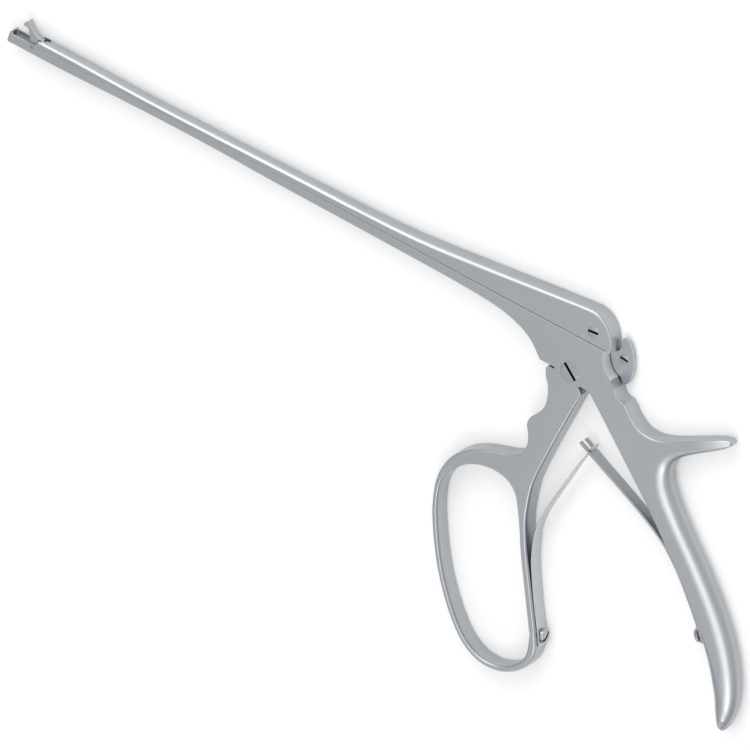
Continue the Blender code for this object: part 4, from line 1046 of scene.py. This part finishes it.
@dataclass
class LeafSprings:
    """Two leaf springs hooked into each other: a narrowing one on the ring limb, a forked one behind it."""

    lift: float = 0.05
    front_thickness: float = 0.45
    rear_thickness: float = 0.75
    rear_half: float = 2.7
    fork_half: float = 1.3
    prong_x: float = 10.2
    hook_at: Point = (14.85, -21.3)
    hook_radius: float = 0.5
    hook_half: float = 2.2

    def strip(self, name: str, path: np.ndarray, halves: np.ndarray, thickness: float) -> bpy.types.Object:
        """A flat bar with broken edges along a path in the drawing plane.

        Section point k at path point p is p + n u and z = middle + v, with n the path's left side and (u, v)
        running round a rectangle of half sides t / 2 and w whose corners are arcs.

        Args:
            name: Piece name.
            path: Centre line.
            halves: Half width at each point.
            thickness: Bar thickness.

        Returns:
            The bar.
        """
        round_off = 0.3 * thickness
        sides = beside(path, 1.0) - path
        rings = []
        for point, side, half in zip(path, sides, halves):
            a, b = thickness / 2 - round_off, half - round_off
            corners = [(a, b, 0), (-a, b, 90), (-a, -b, 180), (a, -b, 270)]
            section = np.vstack([arc((u, v), round_off, start, start + 90, 3) for u, v, start in corners])
            rings.append(np.column_stack([point + section[:, :1] * side, MID_Z + section[:, 1]]))
        return tube(name, np.stack(rings))

    def front(self) -> bpy.types.Object:
        """The narrowing spring: clamped at the limb's foot, bowing off it, with a cross hook at its end."""
        path = smooth([(21.1, -91.2), (19.2, -87.2), (15.5, -79.9), (12.2, -73.0), (9.2, -66.0),
                       (8.05, -62.0), (7.15, -58.0), (6.85, -54.5), (7.2, -50.0), (8.2, -45.0),
                       (9.5, -39.9), (10.9, -34.4), (12.4, -28.6), (14.0, -23.6), self.hook_at], 6)
        halves = np.interp(path[:, 1], (-62.0, -52.0, -36.0, -26.0, -22.0), (3.1, 2.5, 2.2, 1.2, 0.85))
        made = self.strip("front_leaf", path, halves, self.front_thickness)
        hook = bar_cutter(self.hook_at, self.hook_radius, MID_Z - self.hook_half, MID_Z + self.hook_half, 24)
        carve(made, [hook], joined=True)
        return carve(made, [FRONT_SEAT.bore()])

    def rear(self) -> bpy.types.Object:
        """The forked spring: clamped on the handle, running free to its two round-ended prongs."""
        near = HANDLE_INNER[(HANDLE_INNER[:, 1] > -63.0) & (HANDLE_INNER[:, 1] < -44.0)]
        clamped = beside(near, -(self.lift + self.rear_thickness / 2))[::-1]
        free = smooth([tuple(clamped[-1]), (48.6, -38.9), (39.8, -33.9), (29.2, -29.0), (19.9, -25.0),
                       (10.6, -20.9)], 6)
        path = np.vstack([clamped, free[1:]])
        made = self.strip("rear_leaf", path, np.full(len(path), self.rear_half), self.rear_thickness)
        slot = stadium(np.array([0.0, MID_Z]), np.array([15.0 - self.fork_half, MID_Z]), self.fork_half)
        shapes = [slot]
        prong = (self.rear_half - self.fork_half) / 2
        for side in (-1, 1):
            z = MID_Z + side * (self.fork_half + prong)
            half_round = arc((self.prong_x + prong, z), prong, 90, 270, 12)
            shapes.append(np.vstack([half_round, [(5.0, z - prong - 0.1), (5.0, z + prong + 0.1)]]))
        carve(made, [prism("cutter", shape, -26.0, -16.0, "Y") for shape in shapes])
        return carve(made, [REAR_SEAT.bore()])

    def dress(self) -> None:
        """Build both springs and finish them in place, unmounted, each with where it leaves its handle given.
        """
        front_bend = Bend(Body.LEVER, (9.8, -63.5, MID_Z), (8.2, -50.0, MID_Z))
        finish_piece(self.front(), BRIGHT_SPRING, Body.FRONT_SPRING, Slot.SPRING, "front_leaf_spring",
                     bend=front_bend)
        rear_bend = Bend(Body.FRAME, (58.0, -47.0, MID_Z), (48.6, -38.9, MID_Z))
        finish_piece(self.rear(), SPRING, Body.REAR_SPRING, Slot.SPRING, "rear_leaf_spring",
                     bend=rear_bend)


@dataclass(frozen=True)
class Seat:
    """A place on a handle's edge where a screw stands, looking out of the metal."""

    point: Point
    normal: tuple[float, float]

    def matrix(self, lift: float) -> Matrix:
        """Frame whose Z leaves the metal, lifted off the edge, in metres."""
        out = Vector((*self.normal, 0.0)).normalized()
        across = Vector((0.0, 0.0, 1.0))
        turn = Matrix((across, out.cross(across), out)).transposed().to_4x4()
        spot = Vector((*self.point, MID_Z)) + out * lift
        return Matrix.Translation(spot * MM) @ turn

    def bore(self, radius: float = 1.22) -> bpy.types.Object:
        """A round cutter for a screw's shank, from inside the metal to above the seat."""
        return move(bar_cutter((0, 0), radius, -0.2, 3.0, 32), self.matrix(0.0))


FRONT_SEAT = Seat((19.6, -88.7), (0.895, 0.446))
REAR_SEAT = Seat((70.4, -61.0), (-0.813, -0.583))


@dataclass(frozen=True)
class SlottedScrew:
    """A turned screw with its head's top at the origin: head, shank and driver slot in millimetres."""

    head_radius: float
    head_height: float
    shank_radius: float
    length: float
    slot_width: float
    slot_depth: float
    slot_angle: float
    crown: float = 0.0
    edge: float = 0.06

    def build(self, name: str) -> bpy.types.Object:
        """Turn the profile and cut the slot.

        A crowned head falls by crown (1 - sqrt(1 - r^2)) to its edge, and a flat one has a broken edge.

        Args:
            name: Piece name.

        Returns:
            The screw, its head's top at the origin.
        """
        radius = self.head_radius
        if self.crown:
            share = np.sin(np.radians(np.linspace(0, 90, 9)))[1:]
            top = [(radius * r, -self.crown * (1 - math.sqrt(max(1 - r * r, 0)))) for r in share]
        else:
            edge = self.edge
            top = [(radius - edge, 0.0), (radius - edge * 0.3, -edge * 0.3), (radius, -edge)]
        profile = [(0.0, 0.0), *top, (radius, -self.head_height), (self.shank_radius, -self.head_height),
                   (self.shank_radius, -self.length), (0.0, -self.length)]
        made = turned(name, profile, 64)
        half = self.slot_width / 2
        bar = box_cutter((-radius - 1, -half, -self.slot_depth), (radius + 1, half, 1.0))
        move(bar, Matrix.Rotation(math.radians(self.slot_angle), 4, "Z"))
        return carve(made, [bar])

    def shade_slot(self, piece: bpy.types.Object, place: Matrix) -> None:
        """Darken the faces inside the driver slot, where no light of the room reaches.

        Args:
            piece: Finished screw.
            place: Where its head's top stands.
        """
        piece.data.materials.append(SLOT_SHADE.material())
        turn = Matrix.Rotation(math.radians(-self.slot_angle), 4, "Z") @ place.inverted()
        axis = place.col[2].to_3d()
        slack = 0.01
        for face in piece.data.polygons:
            spot = turn @ face.center / MM
            inside = abs(spot.y) <= self.slot_width / 2 + slack and spot.z >= -self.slot_depth - slack
            on_side = abs(face.normal.dot(axis)) < 0.5
            on_floor = spot.z < -self.slot_depth + slack
            if inside and (on_side or on_floor):
                face.material_index = 1


@dataclass
class Fasteners:
    """Slotted screws that hold the forceps together."""

    def dress(self) -> None:
        """Turn, place and mount each screw and darken its slot."""
        screws = (
            ("pivot_screw", SlottedScrew(3.3, 1.6, 2.0, 7.0, 0.9, 1.4, -37.0),
             self.flat((0.0, 0.0), THICKNESS), Body.FRAME, "handle_pivot_screw"),
            ("drive_screw", SlottedScrew(1.8, 1.0, 1.1, 7.0, 0.85, 0.9, 5.6),
             self.flat(DRIVE_SCREW, THICKNESS), Body.SLIDER, "slider_drive_screw"),
            ("stop_screw", SlottedScrew(1.5, 0.6, 0.8, 2.1, 0.75, 0.5, -7.0),
             self.flat(STOP_SCREW, 2.3), Body.FRAME, "stop_plate_screw"),
            ("limb_screw", SlottedScrew(2.4, 1.5, 1.1, 4.1, 0.75, 0.8, 30.0, 0.5),
             FRONT_SEAT.matrix(2.1), Body.LEVER, "front_spring_screw"),
            ("handle_screw", SlottedScrew(2.4, 1.5, 1.1, 5.5, 0.75, 0.8, 75.0, 0.5),
             REAR_SEAT.matrix(2.9), Body.FRAME, "rear_spring_screw"),
        )
        for name, screw, place, body, node in screws:
            made = finish_piece(move(screw.build(name), place), SCREW, body, Slot.SCREW, node)
            screw.shade_slot(made, place)

    @staticmethod
    def flat(centre: Point, height: float) -> Matrix:
        """Place of a screw that stands in the front face."""
        return Matrix.Translation(Vector((*centre, height)) * MM)


@dataclass
class StopPlate:
    """Leaf-shaped plate that closes the slide behind the slider."""

    radius: float = 7.85
    low: float = 1.2
    high: float = 2.3

    def dress(self) -> None:
        """Build the plate, cut its screw's bore and mount it."""
        inner = arc(LEAF_CENTRE, self.radius, 248, 190, 16)
        crest = smooth([(9.3, 11.0), (10.9, 12.0), (11.1, 13.6), (10.9, 15.4), (11.6, 16.6), (13.2, 16.6)])
        rear = smooth([(13.2, 16.6), (14.8, 15.2), (16.8, 12.0), (18.1, 8.2), (18.2, 5.2), (17.4, 3.0),
                       (16.2, 2.3), tuple(inner[0])])
        outline = Outline.of((inner, 0.15, 0.15), (crest, 0.25, 0.25), (rear, 0.4, 0.4))
        made = plate("stop_leaf", outline, self.low, self.high, 5)
        bores = [bar_cutter(STOP_SCREW, STOP_BORE, 0, 3), bar_cutter(STOP_SCREW, 1.53, 1.65, 3)]
        finish_piece(carve(made, bores), SATIN, Body.FRAME, Slot.SATIN, "slider_stop_plate")


@dataclass
class Stage:
    """White floor, soft studio lamps and the photograph's camera."""

    target: tuple[float, float, float] = (-60.85, -33.48, 7.73)
    right: tuple[float, float, float] = (2.676, 0.969, -1.419)
    up: tuple[float, float, float] = (-1.433, 2.708, -0.853)
    view_width: float = 236.78
    distance: float = 9000.0
    tent: tuple = ((0.0, 0.42), (0.25, 0.48), (0.6, 0.72), (0.85, 0.8), (1.0, 0.8))
    window: tuple[float, float, float] = (0.55, 0.83, 0.0)
    floor_half: float = 2500.0
    floor_gap: float = 0.02
    floor_glow: float = 0.17
    lamp_centre: tuple[float, float, float] = (-60.0, -35.0, 0.0)
    lamp_distance: float = 1200.0

    def camera(self) -> bpy.types.Object:
        """Stand the camera so that its axes are the measured directions of the image's edges.

        Returns:
            The camera, made the scene's own.
        """
        right = Vector(self.right).normalized()
        up = Vector(self.up)
        up = (up - right * up.dot(right)).normalized()
        back = right.cross(up)
        data = bpy.data.cameras.new("photo_camera")
        data.sensor_width = 36.0
        data.lens = 36.0 * self.distance / self.view_width
        data.clip_end = 20.0
        made = bpy.data.objects.new("photo_camera", data)
        turn = Matrix((right, up, back)).transposed().to_4x4()
        spot = (Vector(self.target) + back * self.distance) * MM
        made.matrix_world = Matrix.Translation(spot) @ turn
        bpy.context.scene.collection.objects.link(made)
        bpy.context.scene.camera = made
        return made

    def floor(self) -> bpy.types.Object:
        """A wide white floor just under the part; seen directly or in the steel it shows near white."""
        half = self.floor_half
        corners = np.array([(-half, -half), (half, -half), (half, half), (-half, half)])
        made = prism("floor", corners, -5.0, -self.floor_gap)
        material = bpy.data.materials.new("white_floor")
        material.use_nodes = True
        tree = material.node_tree
        shader = tree.nodes["Principled BSDF"]
        shader.inputs["Base Color"].default_value = (0.75, 0.75, 0.75, 1.0)
        shader.inputs["Roughness"].default_value = 1.0
        shader.inputs["Specular IOR Level"].default_value = 0.0
        path = tree.nodes.new("ShaderNodeLightPath")
        seen = path.outputs["Is Camera Ray"]
        for kind in ("Is Glossy Ray", "Is Transmission Ray"):
            seen = math_node(tree, "MAXIMUM", seen, path.outputs[kind])
        glow = math_node(tree, "MULTIPLY", seen, self.floor_glow)
        shader.inputs["Emission Color"].default_value = (1.0, 1.0, 1.0, 1.0)
        tree.links.new(glow, shader.inputs["Emission Strength"])
        made.data.materials.append(material)
        return made

    def lamp(self, name: str, direction: tuple, size: tuple, power: float) -> bpy.types.Object:
        """A soft box that faces the part.

        Args:
            name: Lamp name.
            direction: Direction from the part to the lamp.
            size: Width and height in millimetres.
            power: Power in watts.

        Returns:
            The lamp.
        """
        data = bpy.data.lights.new(name, "AREA")
        data.shape = "RECTANGLE"
        data.size, data.size_y = size[0] * MM, size[1] * MM
        data.energy = power
        made = bpy.data.objects.new(name, data)
        offset = Vector(direction).normalized()
        made.location = (Vector(self.lamp_centre) + offset * self.lamp_distance) * MM
        made.rotation_euler = offset.to_track_quat("Z", "Y").to_euler()
        bpy.context.scene.collection.objects.link(made)
        return made

    def world(self) -> bpy.types.World:
        """A light tent, pale overhead and towards the window, and darker along the rest of the horizon.

        The level follows the greater of the direction's height and its share towards the window.

        Returns:
            The world, made the scene's own.
        """
        made = bpy.data.worlds.new("light_tent")
        made.use_nodes = True
        tree = made.node_tree
        nodes, links = tree.nodes, tree.links
        place = nodes.new("ShaderNodeTexCoord")
        split = nodes.new("ShaderNodeSeparateXYZ")
        links.new(place.outputs["Object"], split.inputs["Vector"])
        band = nodes.new("ShaderNodeFloatCurve")
        curve = band.mapping.curves[0]
        for point, level in zip(curve.points, (self.tent[0], self.tent[-1])):
            point.location = level
        for height, level in self.tent[1:-1]:
            curve.points.new(height, level)
        band.mapping.update()
        side = nodes.new("ShaderNodeVectorMath")
        side.operation = "DOT_PRODUCT"
        side.inputs[1].default_value = self.window
        links.new(place.outputs["Object"], side.inputs[0])
        greater = math_node(tree, "MAXIMUM", split.outputs["Z"], side.outputs["Value"])
        links.new(greater, band.inputs["Value"])
        nodes["Background"].inputs["Color"].default_value = (1.0, 1.0, 1.0, 1.0)
        links.new(band.outputs["Value"], nodes["Background"].inputs["Strength"])
        bpy.context.scene.world = made
        return made

    def build(self) -> None:
        """Set up the camera, floor, world and lamps."""
        self.camera()
        self.floor()
        self.world()
        self.lamp("top_box", (0.18, 0.1, 0.98), (700.0, 600.0), 2.4)
        self.lamp("window_box", (-0.25, 0.78, 0.58), (900.0, 900.0), 5.6)
        self.lamp("right_box", (0.45, -0.36, 0.82), (460.0, 400.0), 2.0)
        self.lamp("low_box", (0.05, -0.88, 0.42), (1200.0, 400.0), 1.2)
        bpy.context.scene.view_settings.view_transform = "Standard"


def main() -> None:
    """Load the frame, set the stage, dress each sub-assembly and shade the two pins."""
    logging.basicConfig(level=logging.INFO, format="%(name)s: %(message)s")
    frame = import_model()
    Stage().build()
    assemblies = (ForgedFrame(), SlidingShaft(), HookJaw(), RingLever(), LeafSprings(), StopPlate(),
                  Fasteners())
    for assembly in assemblies:
        assembly.dress()
    for pin in ("jaw_pivot_pin", "jaw_link_pin"):
        node = frame["nodes"][pin]
        node.data.materials.clear()
        node.data.materials.append(PIN.material())


if __name__ == "__main__":
    main()
